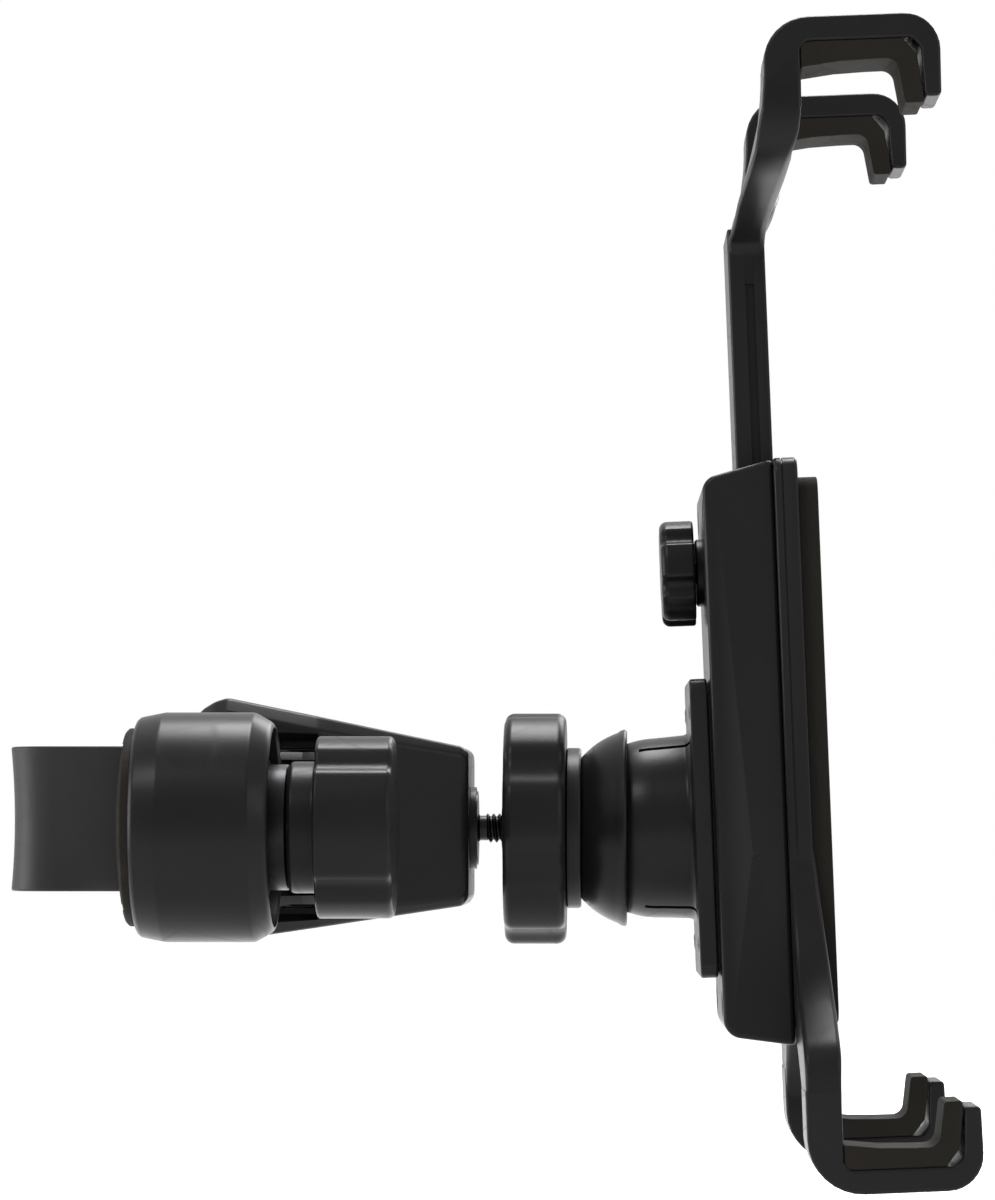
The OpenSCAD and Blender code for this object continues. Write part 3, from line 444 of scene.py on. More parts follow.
def drawGripPad(bm):
    # a shallow crown with a thick rim, turned
    radius, nose, rim, front = gripPad["radius"], gripPad["nose"], gripPad["rim"], gripPad["front"]
    share, steps = gripPad["crownShare"], 10
    crown = [(radius * share * i / steps, nose + gripPad["crown"] * (share * i / steps) ** 2)
             for i in range(3, steps + 1)]
    turned(bm, [(gripPad["bore"], nose + 0.1)] + crown
           + [(radius - 0.15, rim - 0.2), (radius, rim), (radius, front), (gripPad["bore"], front)], gripPad["postY"])


for side, flip in bothSides:
    piece = asObject(side + "GripPad", shape(drawGripPad))
    for i in range(gripPad["grooves"]):
        z = gripPad["radius"] * (2 * (i + 1) / (gripPad["grooves"] + 1) - 1)
        x = gripPad["nose"] + gripPad["crown"] * (z / gripPad["radius"]) ** 2
        half, y = gripPad["grooveWide"] / 2, gripPad["postY"]
        groove = shape(lambda bm: block(bm, (x - 4, y - 30, z - half), (x + gripPad["grooveDeep"], y + 30, z + half)))
        cutOut(piece, asObject("groove", groove))
    cutOut(piece, asObject("padWindow", shape(lambda bm: drawRootWindow(bm, 8.0))))
    place(piece, [side + "_grip_pad"], toObject, flip)
print("grip pads done")

clampKnob = {"postY": -70.0, "radius": 18.4, "lobes": 4, "grooveDepth": 1.4, "grooveRadius": 4.4,
             "firstGroove": 43, "softening": 1, "back": 51.6, "length": 15.5, "backRound": 0.7, "frontRound": 1.2,
             "collar": 13.3, "collarBack": 45.9, "collarFlare": 50.9, "collarEnd": 52.4, "bore": 6.6}


def drawKnobCollar(bm):
    back, end, radius, bore = clampKnob["collarBack"], clampKnob["collarEnd"], clampKnob["collar"], clampKnob["bore"]
    turned(bm, [(bore, back)] + rounding(radius - 1.2, back + 1.2, 1.2, -90, 0)
           + rounding(radius + 1.0, clampKnob["collarFlare"], 1.0, 180, 90)
           + [(radius + 1.0, end), (bore, end)], clampKnob["postY"])


for side, flip in bothSides:
    head = asObject(side + "ClampKnob", shape(lambda bm: lobedHead(bm, clampKnob, clampKnob["postY"])))
    cutOut(head, asObject("collar", shape(drawKnobCollar)), "UNION")
    place(head, [side + "_clamp_knob"], toObject, flip)
washerProfile = [(4.4, 41.75), (12.4, 41.75), (12.7, 42.0), (12.7, 45.6), (12.4, 45.85), (4.4, 45.85)]
for side, flip in bothSides:
    washer = shape(lambda bm: turned(bm, washerProfile, clampKnob["postY"]))
    place(asObject(side + "ClampWasher", washer), [side + "_clamp_washer"], toObject, flip)
print("clamp knobs done")

# hub

hub = {"front": 80.0, "frontWide": 19.0, "cheek": 49.0, "wide": 34.0, "full": 30.0, "rear": 23.0,
       "top": 17.1, "low": -16.5, "topSlope": 0.204, "lowSlope": 0.146, "wall": 3.0, "mouth": 17.0,
       "insideFront": 74.0, "insideHigh": 14.7, "hollows": (27, 39), "hollowLong": 9, "hollowSide": 13,
       "hollowHalf": 10, "pin": (60.0, 9.0), "pinRadius": 3.02, "headRadius": 5.3, "topSink": 2.4, "lowSink": 2.2,
       "boss": 8.0, "studHole": 3.195, "edge": 0.7}


def hubTop(x):
    return hub["top"] + hub["topSlope"] * (hub["front"] - x)


def hubLow(x):
    return hub["low"] - hub["lowSlope"] * (hub["front"] - x)


def drawHubWedge(bm):
    full = hub["full"]
    for x, wide, top, low, bevel in (
            (hub["front"], hub["frontWide"] - 1.0, hubTop(80) - 1.0, hubLow(80) + 1.6, 1.6),
            (hub["front"] - 1.2, hub["frontWide"], hubTop(78.8), hubLow(78.8), 1.8),
            (hub["cheek"], hub["wide"], hubTop(49), hubLow(49), 3.0),
            (full, hub["wide"] + 2, hubTop(full), hubLow(full), 3.0),
            (27.2, hub["wide"] + 1.4, hubTop(full) - 0.8, hubLow(full) + 0.3, 3.0),
            (24.8, hub["wide"] + 0.2, hubTop(full) - 2.2, hubLow(full) + 0.9, 3.0),
            (hub["rear"], hub["wide"] - 1, hubTop(full) - 3.8, hubLow(full) + 1.7, 3.0)):
        for side in (-1, 1):
            for y, z in ((wide - bevel, top), (wide, top - bevel), (wide, low + bevel), (wide - bevel, low)):
                bm.verts.new((x, side * y, z))
    hull = bmesh.ops.convex_hull(bm, input=bm.verts)
    spare = [g for g in hull["geom_interior"] if isinstance(g, bmesh.types.BMVert)]
    bmesh.ops.delete(bm, geom=spare, context="VERTS")
    bmesh.ops.dissolve_limit(bm, angle_limit=math.radians(1.5), verts=bm.verts, edges=bm.edges)
    soften(bm, hub["edge"], 3, 12)


def drawHubInside(bm):
    share = (hub["front"] - hub["insideFront"]) / (hub["front"] - hub["cheek"])
    innerWide = hub["frontWide"] + share * (hub["wide"] - hub["frontWide"]) - hub["wall"]
    for x, y, z in ((hub["insideFront"], innerWide, hub["insideHigh"]),
                    (hub["cheek"], hub["wide"] - hub["wall"], hub["mouth"])):
        for sideY in (-1, 1):
            for sideZ in (-1, 1):
                bm.verts.new((x, sideY * y, sideZ * z))
    bmesh.ops.convex_hull(bm, input=bm.verts)
    soften(bm, 1.2, 2, 30)


def drawHubRear(bm):
    block(bm, (hub["rear"] - 1, 4 - hub["wide"], -hub["mouth"]), (hub["cheek"] + 0.1, hub["wide"] - 4, hub["mouth"]))


def drawHubMouth(bm, side):
    # flared, so that the arm can swing
    for x in (hub["rear"] - 1, hub["cheek"]):
        for y, z in ((hub["wide"] - 5, hub["mouth"] + 1.2), (hub["wide"] + 4, hub["mouth"] + 4)):
            for up in (-1, 1):
                bm.verts.new((x, side * y, up * z))
    bmesh.ops.convex_hull(bm, input=bm.verts)


def drawHubHollows(bm):
    for side in (-1, 1):
        near, far = side * hub["hollowSide"] - hub["hollowHalf"], side * hub["hollowSide"] + hub["hollowHalf"]
        for x in hub["hollows"]:
            end = x + hub["hollowLong"]
            block(bm, (x, near, hub["mouth"] - 1), (end, far, hubTop(end) - hub["wall"]))
            block(bm, (x, near, hubLow(end) + hub["wall"]), (end, far, 1 - hub["mouth"]))


def drawHubBosses(bm):
    x, y = hub["pin"]
    for side in (-1, 1):
        rodAlongZ(bm, hub["boss"], hub["insideHigh"], 19.0, x, side * y)
        rodAlongZ(bm, hub["boss"], -18.0, -hub["insideHigh"], x, side * y)


hubPiece = asObject("hubBody", shape(drawHubWedge))
cutOut(hubPiece, asObject("hubInside", shape(drawHubInside)))
cutOut(hubPiece, asObject("hubRear", shape(drawHubRear)))
cutOut(hubPiece, asObject("mouthLeft", shape(lambda bm: drawHubMouth(bm, -1))))
cutOut(hubPiece, asObject("mouthRight", shape(lambda bm: drawHubMouth(bm, 1))))
cutOut(hubPiece, asObject("hubHollows", shape(drawHubHollows)))
cutOut(hubPiece, asObject("hubBosses", shape(drawHubBosses)), "UNION")
for side in (-1, 1):
    x, y = hub["pin"]
    for radius, low, high in ((hub["pinRadius"], -60, 60), (hub["headRadius"], hubTop(x) - hub["topSink"], 60),
                              (hub["headRadius"], -60, hubLow(x) + hub["lowSink"])):
        cutOut(hubPiece, asObject("pinHole", shape(lambda bm: rodAlongZ(bm, radius, low, high, x, side * y))))
cutOut(hubPiece, asObject("studHole", shape(lambda bm: rodAlongX(bm, hub["studHole"], 60, 90))))
place(hubPiece, ["hub"], toObject)
print("hub done")

# stud with its thread, hand nut, ring and cup

stud = {"radius": 3.175, "root": 2.55, "pitch": 1.27, "threadStart": 82.9, "turns": 13, "back": 68.5,
        "headBack": 116.1, "front": 120.5, "hexAcrossFlats": 11.1}


def drawThread(bm):
    # one pitch of the thread's profile, wound along the stud
    x, pitch, steps = stud["threadStart"], stud["pitch"], 48
    points = ((stud["root"], 0.0), (stud["root"], 0.1), (stud["radius"], 0.46), (stud["radius"], 0.54),
              (stud["root"], 0.9), (stud["root"], 1.0))
    verts = [bm.verts.new((x + share * pitch, 0, radius)) for radius, share in points]
    edges = [bm.edges.new(pair) for pair in zip(verts, verts[1:])]
    bmesh.ops.spin(bm, geom=verts + edges, cent=(0, 0, 0), axis=(1, 0, 0), dvec=(pitch / steps, 0, 0),
                   angle=math.tau * stud["turns"], steps=steps * stud["turns"], use_merge=False, use_duplicate=False)
    bmesh.ops.remove_doubles(bm, verts=bm.verts, dist=0.002)
    bmesh.ops.holes_fill(bm, edges=[e for e in bm.edges if e.is_boundary], sides=0)


def drawStudCore(bm):
    radius, root = stud["radius"], stud["root"]
    turned(bm, [(0, stud["back"]), (radius - 0.6, stud["back"]), (radius, stud["back"] + 0.7), (radius, 81.5),
                (root + 0.15, 81.9), (root + 0.15, 83.4), (root - 0.02, 83.6), (root - 0.02, 99.0),
                (radius, 99.6), (radius, stud["headBack"] + 0.1), (0, stud["headBack"] + 0.1)], steps=48)


def drawStudHead(bm):
    rodAlongX(bm, stud["hexAcrossFlats"] / math.sqrt(3), stud["headBack"], stud["front"], sides=6)
    soften(bm, 0.3, 2, 30)


studPiece = asObject("stud", shape(drawThread, drawStudCore))
head = asObject("studHead", shape(drawStudHead))
cutOut(studPiece, head, "UNION")
place(studPiece, ["stud"], toObject, crease=30)

handNut = {"radius": 25.2, "lobes": 7, "grooveDepth": 1.5, "grooveRadius": 10, "firstGroove": 19, "softening": 6,
           "back": 87.3, "length": 13.3, "backRound": 2.0, "frontRound": 2.0}


def drawNutBore(bm):
    turned(bm, [(3.475, 80), (3.475, 95.0), (6.4, 95.0), (6.4, 110), (0, 110), (0, 80)], steps=64)
    turned(bm, [(8.9, 90.5), (14.9, 90.5), (14.9, 110), (8.9, 110)])


nutPiece = asObject("handNut", shape(lambda bm: lobedHead(bm, handNut)))
nutBoss = shape(lambda bm: turned(bm, [(0, 86.6), (4.3, 86.6), (4.8, 87.0), (4.8, 88.6), (0, 88.6)], steps=64))
cutOut(nutPiece, asObject("nutBoss", nutBoss), "UNION")
cutOut(nutPiece, asObject("nutBore", shape(drawNutBore)))
place(nutPiece, ["hand_nut"], toObject)

cup = {"back": 103.8, "floor": 105.4, "rim": 113.8, "rimRadius": 21.4, "bore": 3.475, "inner": 19.8,
       "centre": 120.5}


def drawCup(bm):
    rim, back = cup["rimRadius"], cup["back"]
    outside = [(rim - 6.4, back), (rim - 6.0, back + 0.15), (rim - 5.4, back + 0.7), (rim - 4.6, back + 1.55),
               (rim - 3.8, back + 2.45), (rim - 3.0, back + 3.5), (rim - 2.3, back + 4.6), (rim - 1.65, back + 5.8),
               (rim - 1.05, back + 7.1), (rim - 0.7, back + 8.0), (rim - 0.3, back + 8.5)]
    lip = rounding(rim - 0.7, cup["rim"] - 0.7, 0.7, 0, 80, 6)
    start = math.degrees(math.asin((cup["centre"] - cup["rim"] + 0.3) / cup["inner"]))
    end = math.degrees(math.asin((cup["centre"] - cup["floor"]) / cup["inner"]))
    inside = [(cup["inner"] * math.cos(math.radians(start + (end - start) * i / 12)),
               cup["centre"] - cup["inner"] * math.sin(math.radians(start + (end - start) * i / 12)))
              for i in range(13)]
    turned(bm, [(cup["bore"], back)] + outside + lip + [(inside[0][0] + 0.3, cup["rim"])] + inside
           + [(cup["bore"], cup["floor"])], steps=160)


place(asObject("pressureCup", shape(drawCup)), ["pressure_cup"], toObject, crease=25)
ringProfile = [(3.475, 100.7), (17.0, 100.7), (17.4, 101.0), (17.4, 103.4), (17.1, 103.8), (3.475, 103.8)]
place(asObject("thrustRing", shape(lambda bm: turned(bm, ringProfile, steps=160))), ["thrust_ring"], toObject)
print("ball joint done")

# cradle, drawn in its own frame: x from the ball's centre, z up along the cradle

socket = {"dome": 19.5, "hollow": 15.9, "front": -11.0, "plateBack": 7.5, "plateFront": 11.3, "wide": 22.5,
          "low": -32.4, "high": 31.4, "corner": 3.0, "bore": 16.0, "slots": (61, 119, -61, -119),
          "slotHalf": 0.6, "slotBack": -3.6, "slotFront": 7.8, "slotReach": 22.1, "screwHole": 1.52,
          "screwSide": 17.5, "screwHeights": (-25.4, 24.4)}


def drawDome(bm):
    dome, back = socket["dome"], socket["plateBack"]
    start = math.degrees(math.acos(-socket["front"] / dome))
    outside = [(dome * math.sin(math.radians(start + (90 - start) * i / 14)),
                -dome * math.cos(math.radians(start + (90 - start) * i / 14))) for i in range(15)]
    foot = rounding(dome + 1.9, back - 1.5, 1.5, 180, 90)
    first = math.degrees(math.acos(-socket["front"] / socket["hollow"]))
    inside = [(socket["hollow"] * math.sin(math.radians(90 + (first - 90) * i / 12)),
               -socket["hollow"] * math.cos(math.radians(90 + (first - 90) * i / 12))) for i in range(13)]
    turned(bm, outside + [(dome + 0.4, back - 1.5)] + foot
           + [(dome + 2.4, back + 1.0), (socket["bore"], back + 1.0)] + inside, steps=160)


def drawBasePlate(bm):
    wide, low, high, corner = socket["wide"], socket["low"], socket["high"], socket["corner"]
    facePlate(bm, ((-wide, low, corner), (wide, low, corner), (wide, high, corner), (-wide, high, corner)),
              socket["plateBack"], socket["plateFront"])
    soften(bm, 0.55, 3, 60)


def drawSlot(bm):
    half = socket["slotHalf"]
    block(bm, (socket["slotBack"], -socket["slotReach"], -half), (socket["slotFront"], -10, half))


def screwPlaces(piece):
    return [(y, z) for y in (-piece["screwSide"], piece["screwSide"]) for z in piece["screwHeights"]]


socketPiece = asObject("socketBase", shape(drawDome))
cutOut(socketPiece, asObject("basePlate", shape(drawBasePlate)), "UNION")
cutOut(socketPiece, asObject("plateBore", shape(lambda bm: rodAlongX(bm, socket["bore"], 1.0, 20.0, sides=128))))
for angle in socket["slots"]:
    slotBlock = asObject("slot", shape(drawSlot))
    slotBlock.data.transform(Matrix.Rotation(math.radians(angle), 4, "X"))
    cutOut(socketPiece, slotBlock)
for y, z in screwPlaces(socket):
    hole = shape(lambda bm: rodAlongX(bm, socket["screwHole"], 0, 20, y, z, 32))
    cutOut(socketPiece, asObject("screwHole", hole))
place(socketPiece, ["socket_base"], toCradle)

screw = {"shank": 1.5, "head": 2.7, "crossWide": 0.75, "crossLong": 3.0, "crossDeep": 0.7}


def drawScrew(bm, headBack, headHigh, shankEnd, y, z):
    # a raised countersunk head with its shank
    shank, head = screw["shank"], screw["head"]
    turned(bm, [(0, headBack), (head * 0.45, headBack + 0.05), (head * 0.75, headBack + 0.25),
                (head, headBack + headHigh), (head, headBack + headHigh + 0.25), (shank, headBack + headHigh + 0.6),
                (shank, shankEnd), (0, shankEnd)], y, z, steps=40)


def screws(name, nodes, places, headBack, headHigh, shankEnd):
    piece = None
    for y, z in places:
        one = asObject(name, shape(lambda bm: drawScrew(bm, headBack, headHigh, shankEnd, y, z)))
        wide, long = screw["crossWide"] / 2, screw["crossLong"] / 2
        for a, b in ((wide, long), (long, wide)):
            cutOut(one, asObject("cross", shape(lambda bm: block(
                bm, (headBack - 1, y - a, z - b), (headBack + screw["crossDeep"], y + a, z + b)))))
        if piece:
            cutOut(piece, one, "UNION")
        else:
            piece = one
    place(piece, nodes, toCradle)


housing = {"back": 11.9, "front": 27.1, "top": 77.0, "low": -47.4, "wide": 24.0, "edge": 1.1, "lock": 55.0,
           "lockBore": 2.8, "channelWide": 12.3, "channelBack": 19.4, "counterbore": 2.9,
           "screwSide": 18.8, "screwHeights": (-38, 67), "gateRadius": 1.6, "gateCentre": (20.3, -25.3, -6.6)}

screws("baseScrews", ["base_screws"], screwPlaces(socket), 7.2, 0.45, 14.1)
screws("housingScrews", ["housing_screws"], screwPlaces(housing), 12.1, 0.6, 30.0)
print("socket base done")


def drawHousing(bm):
    back, front = housing["back"], housing["front"]
    sideSlab(bm, ((front, housing["low"], 0), (front, housing["top"], 0), (front - 1.6, housing["top"], 0),
                  (back, housing["top"] - 3.4, 2.6), (back, housing["low"] + 2.6, 3.4)),
             -housing["wide"], housing["wide"])
    soften(bm, housing["edge"], 4, 40)


housingPiece = asObject("rearHousing", shape(drawHousing))
raised = shape(lambda bm: block(bm, (11.3, -20, -29.4), (12.9, 20, 28.4)), lambda bm: soften(bm, 0.2, 1, 40))
cutOut(housingPiece, asObject("raisedPad", raised), "UNION")
boss = shape(lambda bm: turned(bm, [(0, 10.4), (6.9, 10.4), (7.3, 10.8), (7.3, 13.0), (0, 13.0)],
                               0, housing["lock"], 96))
cutOut(housingPiece, asObject("lockBoss", boss), "UNION")
channel = shape(lambda bm: block(bm, (housing["channelBack"], -housing["channelWide"], -60),
                                 (40, housing["channelWide"], 100)))
cutOut(housingPiece, asObject("channel", channel))
lockBore = shape(lambda bm: rodAlongX(bm, housing["lockBore"], 5, 30, 0, housing["lock"], 48))
cutOut(housingPiece, asObject("lockBore", lockBore))
for y, z in screwPlaces(housing):
    counterbore = shape(lambda bm: rodAlongX(bm, housing["counterbore"], 10, 13.5, y, z, 48))
    cutOut(housingPiece, asObject("counterbore", counterbore))
gateMark = shape(lambda bm: bmesh.ops.create_icosphere(bm, subdivisions=4, radius=housing["gateRadius"],
                                                       matrix=Matrix.Translation(housing["gateCentre"])))
cutOut(housingPiece, asObject("gateMark", gateMark))
place(housingPiece, ["rear_housing"], toCradle)
print("rear housing done")

claw = {"back": 27.1, "arm": 34.5, "lip": 63.4, "floor": 5.1, "wide": 17.0, "lipLength": 17.3, "lipThick": 3.4,
        "edge": 0.7, "lowerY": 47.5, "upperY": 50.0, "lowerZ": -76.98, "upperZ": 164.68}


def drawClaw(bm, y, root, back, corner, outerZ, up):
    # side view; up is 1 for a lower claw and -1 for an upper one
    lip, arm = claw["lip"], claw["arm"]
    bend = 2.0 if back else 0
    corners = ((claw["back"] - back, root, 0), (claw["back"] - back / 4, root - 7, bend), (claw["back"], 0, corner),
               (lip, 0, 7.6), (lip - 0.3, claw["lipLength"], 1.1),
               (lip - 0.3 - claw["lipThick"], claw["lipLength"], 1.0),
               (lip - 4.15, 7.2, 0.8), (lip - 6.0, claw["floor"], 0.8), (arm, claw["floor"], 2.2),
               (arm, root - 7, bend), (arm - back * 0.2, root, 0))
    sideSlab(bm, [(x, outerZ + up * z, r) for x, z, r in corners], y - claw["wide"] / 2, y + claw["wide"] / 2)
    soften(bm, claw["edge"], 3, 40)


plate = {"back": 27.1, "front": 32.2, "wide": 26.0, "low": -44.0, "top": 77.6, "corner": 4.0, "edge": 0.7,
         "recessWide": 12.3, "recessFront": 28.0, "padRoomWide": 23.05, "padRoomLow": -43.05,
         "lineX": 28.9, "lineWide": 0.4, "lineDeep": 0.35}

# outlines in the front view as (y, z), and the depth as (z, back, front)
lowerLeg = {"outer": ((-25.9, -5), (-26.5, -14), (-28.7, -22.5), (-33, -30), (-39.8, -36.8), (-47.5, -42.3),
                      (-52.6, -45.8), (-55.1, -48.8), (-55.92, -52.5), (-55.92, -61)),
            "inner": ((-8, -6), (-9, -20), (-12, -34), (-18, -43), (-25.5, -47.8), (-31, -51.5),
                      (-35.5, -55.2), (-38, -58.8), (-39.08, -62.5), (-39.08, -66)),
            "depth": ((-70, 27.3, 34.42), (-62, 27.3, 34.5), (-53, 27.25, 34.7), (-48, 27.2, 34.95),
                      (-40, 27.2, 34.9), (-30, 27.2, 34.4), (-20, 27.2, 33.6), (-10, 27.2, 32.8), (-4, 27.2, 32.1)),
            "edge": 1.0}
upperLeg = {"outer": ((-11.9, 116), (-12.1, 122.5), (-15, 126), (-24, 129.5), (-36, 132.6), (-47.5, 135.2),
                      (-55.5, 138.6), (-58.42, 144.5), (-58.42, 152)),
            "inner": ((-0.5, 116), (-0.5, 124), (-6, 131), (-15.5, 136.2), (-27.5, 140.8), (-36, 144.2),
                      (-40.8, 147.5), (-41.58, 152.5), (-41.58, 156)),
            "depth": ((116, 19.8, 27.6), (125, 19.85, 27.65), (127.1, 20.6, 27.8), (130.6, 21.4, 29.0),
                      (134.2, 23.0, 30.9), (137.9, 24.5, 32.6), (140.7, 24.9, 33.6), (144.4, 25.7, 34.1),
                      (147.7, 26.5, 34.35), (156, 26.9, 34.4)), "edge": 1.1}


def depthAt(table, z):
    for (low, lowBack, lowFront), (high, highBack, highFront) in zip(table, table[1:]):
        if z <= high:
            share = max(0.0, (z - low) / (high - low))
            return lowBack + share * (highBack - lowBack), lowFront + share * (highFront - lowFront)
    return table[-1][1:]


def drawLeg(bm, leg):
    sections = []
    for (outY, outZ), (inY, inZ) in zip(smoothStations(leg["outer"], 4), smoothStations(leg["inner"], 4)):
        outBack, outFront = depthAt(leg["depth"], outZ)
        inBack, inFront = depthAt(leg["depth"], inZ)
        sections.append([(outBack, outY, outZ), (outFront, outY, outZ), (inFront, inY, inZ), (inBack, inY, inZ)])
    soften(bm, leg["edge"], 3, 50, bentArm(bm, sections))


def addBothSides(piece, name, draw):
    for flip in (False, True):
        part = asObject(name, shape(draw))
        if flip:
            mirror(part)
        cutOut(piece, part, "UNION")


def drawPlate(bm):
    wide, low, top, corner = plate["wide"], plate["low"], plate["top"], plate["corner"]
    facePlate(bm, ((-wide, low, corner), (wide, low, corner), (wide, top, corner), (-wide, top, corner)),
              plate["back"], plate["front"])
    soften(bm, plate["edge"], 3, 60)


def drawPartingRing(bm, inset):
    # the core, with a real inset, stands 1 mm past the ring on both faces
    wide, low, top, corner = plate["wide"] - inset, plate["low"] + inset, plate["top"] - inset, plate["corner"]
    half = plate["lineWide"] / 2
    facePlate(bm, ((-wide, low, corner), (wide, low, corner), (wide, top, corner), (-wide, top, corner)),
              plate["lineX"] - half - (inset > 0), plate["lineX"] + half + (inset > 0))


platePiece = asObject("frontPlate", shape(drawPlate))
ring = asObject("partingRing", shape(lambda bm: drawPartingRing(bm, -2.0)))
cutOut(ring, asObject("partingCore", shape(lambda bm: drawPartingRing(bm, plate["lineDeep"]))))
cutOut(platePiece, ring)
addBothSides(platePiece, "lowerLeg", lambda bm: drawLeg(bm, lowerLeg))
addBothSides(platePiece, "lowerClaw", lambda bm: drawClaw(bm, -claw["lowerY"], 22.0, 0.0, 11.6, claw["lowerZ"], 1))
padRoom = shape(lambda bm: block(bm, (plate["front"] + 0.01, -plate["padRoomWide"], plate["padRoomLow"]),
                                 (50, plate["padRoomWide"], 100)))
cutOut(platePiece, asObject("padRoom", padRoom))
stemRoom = shape(lambda bm: block(bm, (20, -plate["recessWide"], -60),
                                  (plate["recessFront"], plate["recessWide"], 100)))
cutOut(platePiece, asObject("stemRoom", stemRoom))
place(platePiece, ["front_plate"], toCradle, crease=32)
print("front plate done")

slider = {"back": 19.7, "front": 27.7, "wide": 12.0, "low": 4.0, "top": 128.0, "edge": 0.7,
          "grooveBack": 23.2, "grooveFront": 25.1, "grooveDeep": 0.9, "grooveLow": 3.0, "grooveTop": 126.3}


def drawStem(bm):
    block(bm, (slider["back"], -slider["wide"], slider["low"]), (slider["front"], slider["wide"], slider["top"]))
    soften(bm, slider["edge"], 3, 60)


sliderPiece = asObject("slider", shape(drawStem))
for y in (-slider["wide"], slider["wide"]):
    near, far = y - slider["grooveDeep"], y + slider["grooveDeep"]
    sideGroove = shape(lambda bm: block(bm, (slider["grooveBack"], near, slider["grooveLow"]),
                                        (slider["grooveFront"], far, slider["grooveTop"])))
    cutOut(sliderPiece, asObject("sideGroove", sideGroove))
addBothSides(sliderPiece, "upperLeg", lambda bm: drawLeg(bm, upperLeg))
addBothSides(sliderPiece, "upperClaw", lambda bm: drawClaw(bm, -claw["upperY"], 19.0, 1.0, 9.2, claw["upperZ"], -1))
place(sliderPiece, ["slider"], toCradle, crease=32)
print("slider done")


def drawLining(bm, y, outerZ, up):
    # the soft lining follows floor and lip, and stands a little past the lip
    lip, arm, floor, half = claw["lip"], claw["arm"], claw["floor"], claw["wide"] / 2
    corners = ((arm + 0.1, floor + 0.3, 0), (arm + 2.4, floor, 0), (lip - 7.9, floor, 0), (lip - 5.0, floor + 3.6, 0),
               (lip - 3.95, claw["lipLength"] - 0.6, 0), (lip - 4.1, claw["lipLength"] + 1.2, 0.5),
               (lip - 7.8, claw["lipLength"] + 1.2, 0.7), (lip - 9.2, floor + 4.1, 2.2), (48.5, floor + 4.15, 0),
               (42.0, floor + 4.4, 0), (arm + 0.1, floor + 5.3, 0.4))
    sideSlab(bm, [(x, outerZ + up * z, r) for x, z, r in corners], y - half + 0.35, y + half - 0.35)
    soften(bm, 0.3, 2, 40)


for side, flip in bothSides:
    place(asObject(side + "LowerLining", shape(lambda bm: drawLining(bm, -claw["lowerY"], claw["lowerZ"], 1))),
          [side + "_lower_lining"], toCradle, flip)
    place(asObject(side + "UpperLining", shape(lambda bm: drawLining(bm, -claw["upperY"], claw["upperZ"], -1))),
          [side + "_upper_lining"], toCradle, flip)

pad = {"back": 32.2, "front": 36.5, "wide": 23.0, "low": -43.0, "top": 73.5, "corner": 4,
       "grooves": 13, "grooveHalf": 0.75, "margin": 3.0}


def drawPad(bm):
    wide, low, top, corner = pad["wide"], pad["low"], pad["top"], pad["corner"]
    facePlate(bm, ((-wide, low, corner), (wide, low, corner), (wide, top, corner), (-wide, top, corner)),
              pad["back"], pad["front"])
    soften(bm, 0.35, 2, 60)


def drawPadGrooves(bm):
    # V grooves that stop short of the pad's sides
    pitch = (pad["top"] - pad["low"]) / (pad["grooves"] + 1)
    front, size, reach = pad["front"], pad["grooveHalf"], pad["wide"] - pad["margin"]
    for i in range(1, pad["grooves"] + 1):
        z = pad["low"] + pitch * i
        face = bm.faces.new([bm.verts.new(point) for point in (
            (front + 0.01, -reach, z + size), (front + 0.01, -reach, z - size), (front - size, -reach, z))])
        pulled = bmesh.ops.extrude_face_region(bm, geom=[face])["geom"]
        bmesh.ops.translate(bm, vec=(0, 2 * reach, 0),
                            verts=[g for g in pulled if isinstance(g, bmesh.types.BMVert)])


padPiece = asObject("frontPad", shape(drawPad))
cutOut(padPiece, asObject("padGrooves", shape(drawPadGrooves)))
place(padPiece, ["front_pad"], toCradle)

lockKnob = {"radius": 11.4, "lobes": 6, "grooveDepth": 1.3, "grooveRadius": 2.6, "firstGroove": 17,
            "softening": 1, "back": 2.8, "length": 7.3, "backRound": 1.7, "frontRound": 0.6}
lockHead = shape(lambda bm: lobedHead(bm, lockKnob, 0.0, housing["lock"]))
place(asObject("lockKnob", lockHead), ["lock_knob"], toCradle)
print("linings, pad and lock knob done")

# floor, light and camera

def seenDirectly(tree):
    # 1 for what the camera sees, also in a reflection or through something clear
    seen = addNode(tree, "ShaderNodeLightPath")
    first = addNode(tree, "ShaderNodeMath", operation="MAXIMUM")
    both = addNode(tree, "ShaderNodeMath", operation="MAXIMUM")
    tree.links.new(seen.outputs["Is Camera Ray"], first.inputs[0])
    tree.links.new(seen.outputs["Is Glossy Ray"], first.inputs[1])
    tree.links.new(first.outputs[0], both.inputs[0])
    tree.links.new(seen.outputs["Is Transmission Ray"], both.inputs[1])
    return both


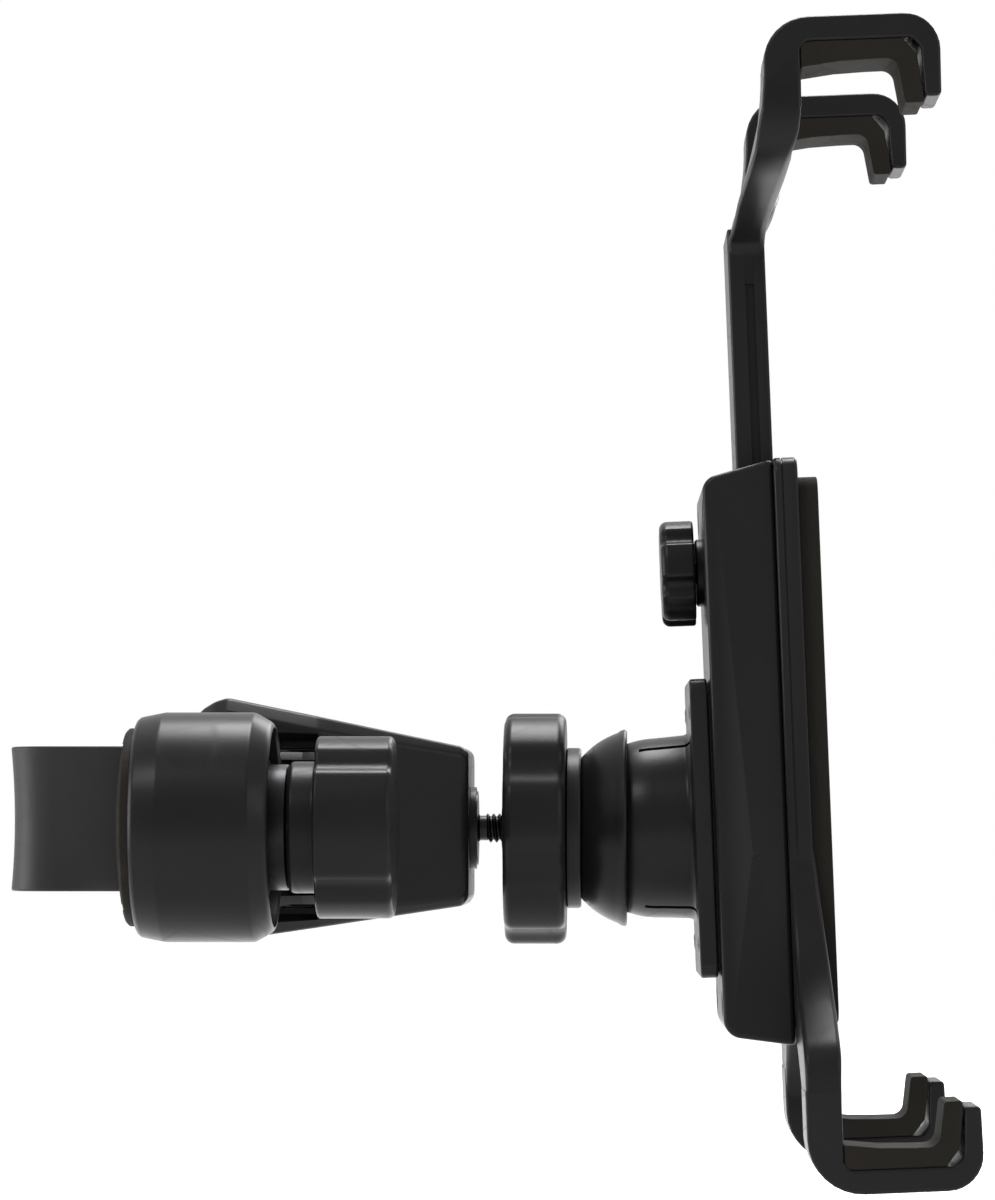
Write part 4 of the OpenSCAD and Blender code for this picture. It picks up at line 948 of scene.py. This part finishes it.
studio = {"floorCentre": (0.12, 2.2, -0.12), "floorSize": 8.0, "floorColour": (0.86, 0.86, 0.86),
          "floorGlow": 0.75, "worldStrength": 0.3}
floorBuild = bmesh.new()
bmesh.ops.create_grid(floorBuild, x_segments=1, y_segments=1, size=studio["floorSize"] / 2)
bmesh.ops.translate(floorBuild, vec=studio["floorCentre"], verts=floorBuild.verts)
floorMesh = bpy.data.meshes.new("floor")
floorBuild.to_mesh(floorMesh)
floorBuild.free()
floor = bpy.data.objects.new("floor", floorMesh)
scene.collection.objects.link(floor)
floorMat, tree, shader = newMaterial("paleFloor", {
    "Base Color": (*studio["floorColour"], 1), "Roughness": 0.9, "Specular IOR Level": 0.2})
noGlow = addNode(tree, "ShaderNodeEmission", {"Strength": 0.0})
glow = addNode(tree, "ShaderNodeEmission", {"Color": (1, 1, 1, 1), "Strength": studio["floorGlow"]})
glowWhereSeen = addNode(tree, "ShaderNodeMixShader")
adder = addNode(tree, "ShaderNodeAddShader")
for source, target in ((seenDirectly(tree), glowWhereSeen.inputs["Fac"]), (noGlow, glowWhereSeen.inputs[1]),
                       (glow, glowWhereSeen.inputs[2]), (shader, adder.inputs[0]), (glowWhereSeen, adder.inputs[1]),
                       (adder, tree.nodes["Material Output"].inputs["Surface"])):
    tree.links.new(source.outputs[0], target)
floor.data.materials.append(floorMat)

world = bpy.data.worlds.new("studio")
scene.world = world
world.use_nodes = True
tree = world.node_tree
background = tree.nodes["Background"]
setInputs(background, {"Color": (1, 1, 1, 1), "Strength": studio["worldStrength"]})
whiteBack = addNode(tree, "ShaderNodeBackground", {"Color": (1, 1, 1, 1), "Strength": 1.0})
mixer = addNode(tree, "ShaderNodeMixShader")
for source, target in ((seenDirectly(tree), mixer.inputs["Fac"]), (background, mixer.inputs[1]),
                       (whiteBack, mixer.inputs[2]), (mixer, tree.nodes["World Output"].inputs["Surface"])):
    tree.links.new(source.outputs[0], target)


def softLamp(name, spot, aim, size, power):
    data = bpy.data.lights.new(name, "AREA")
    data.shape = "SQUARE"
    data.size = size
    data.energy = power
    lamp = bpy.data.objects.new(name, data)
    lamp.location = spot
    lamp.rotation_euler = (Vector(aim) - Vector(spot)).to_track_quat("-Z", "Y").to_euler()
    scene.collection.objects.link(lamp)


softLamp("keyLamp", (-0.55, -0.9, 1.2), (0.1, 0, 0.03), 0.4, 8)
softLamp("fillLamp", (1.2, -0.7, 0.5), (0.12, 0, 0.03), 0.6, 3)
softLamp("topLamp", (0.1, 0.45, 1.15), (0.1, 0, 0.03), 0.5, 17)
softLamp("sideLamp", (-1.3, -0.05, 0.15), (0, 0, 0), 0.8, 14)
softLamp("rimLamp", (0.5, 1.0, 0.7), (0.12, 0, 0.03), 0.5, 5)

# a level camera; the shifts put the object where the photo has it
camera = bpy.data.objects.new("camera", bpy.data.cameras.new("camera"))
camera.location = (0.1166, -0.9783, -0.00174)
camera.rotation_euler = (math.radians(90), 0, 0)
camera.data.sensor_fit = "AUTO"
camera.data.sensor_width = 36
camera.data.lens = 135
camera.data.shift_x = -0.11875
camera.data.shift_y = 0.19667
camera.data.clip_start = 0.01
scene.collection.objects.link(camera)
scene.camera = camera
scene.view_settings.view_transform = "Standard"
print("stage and camera done")
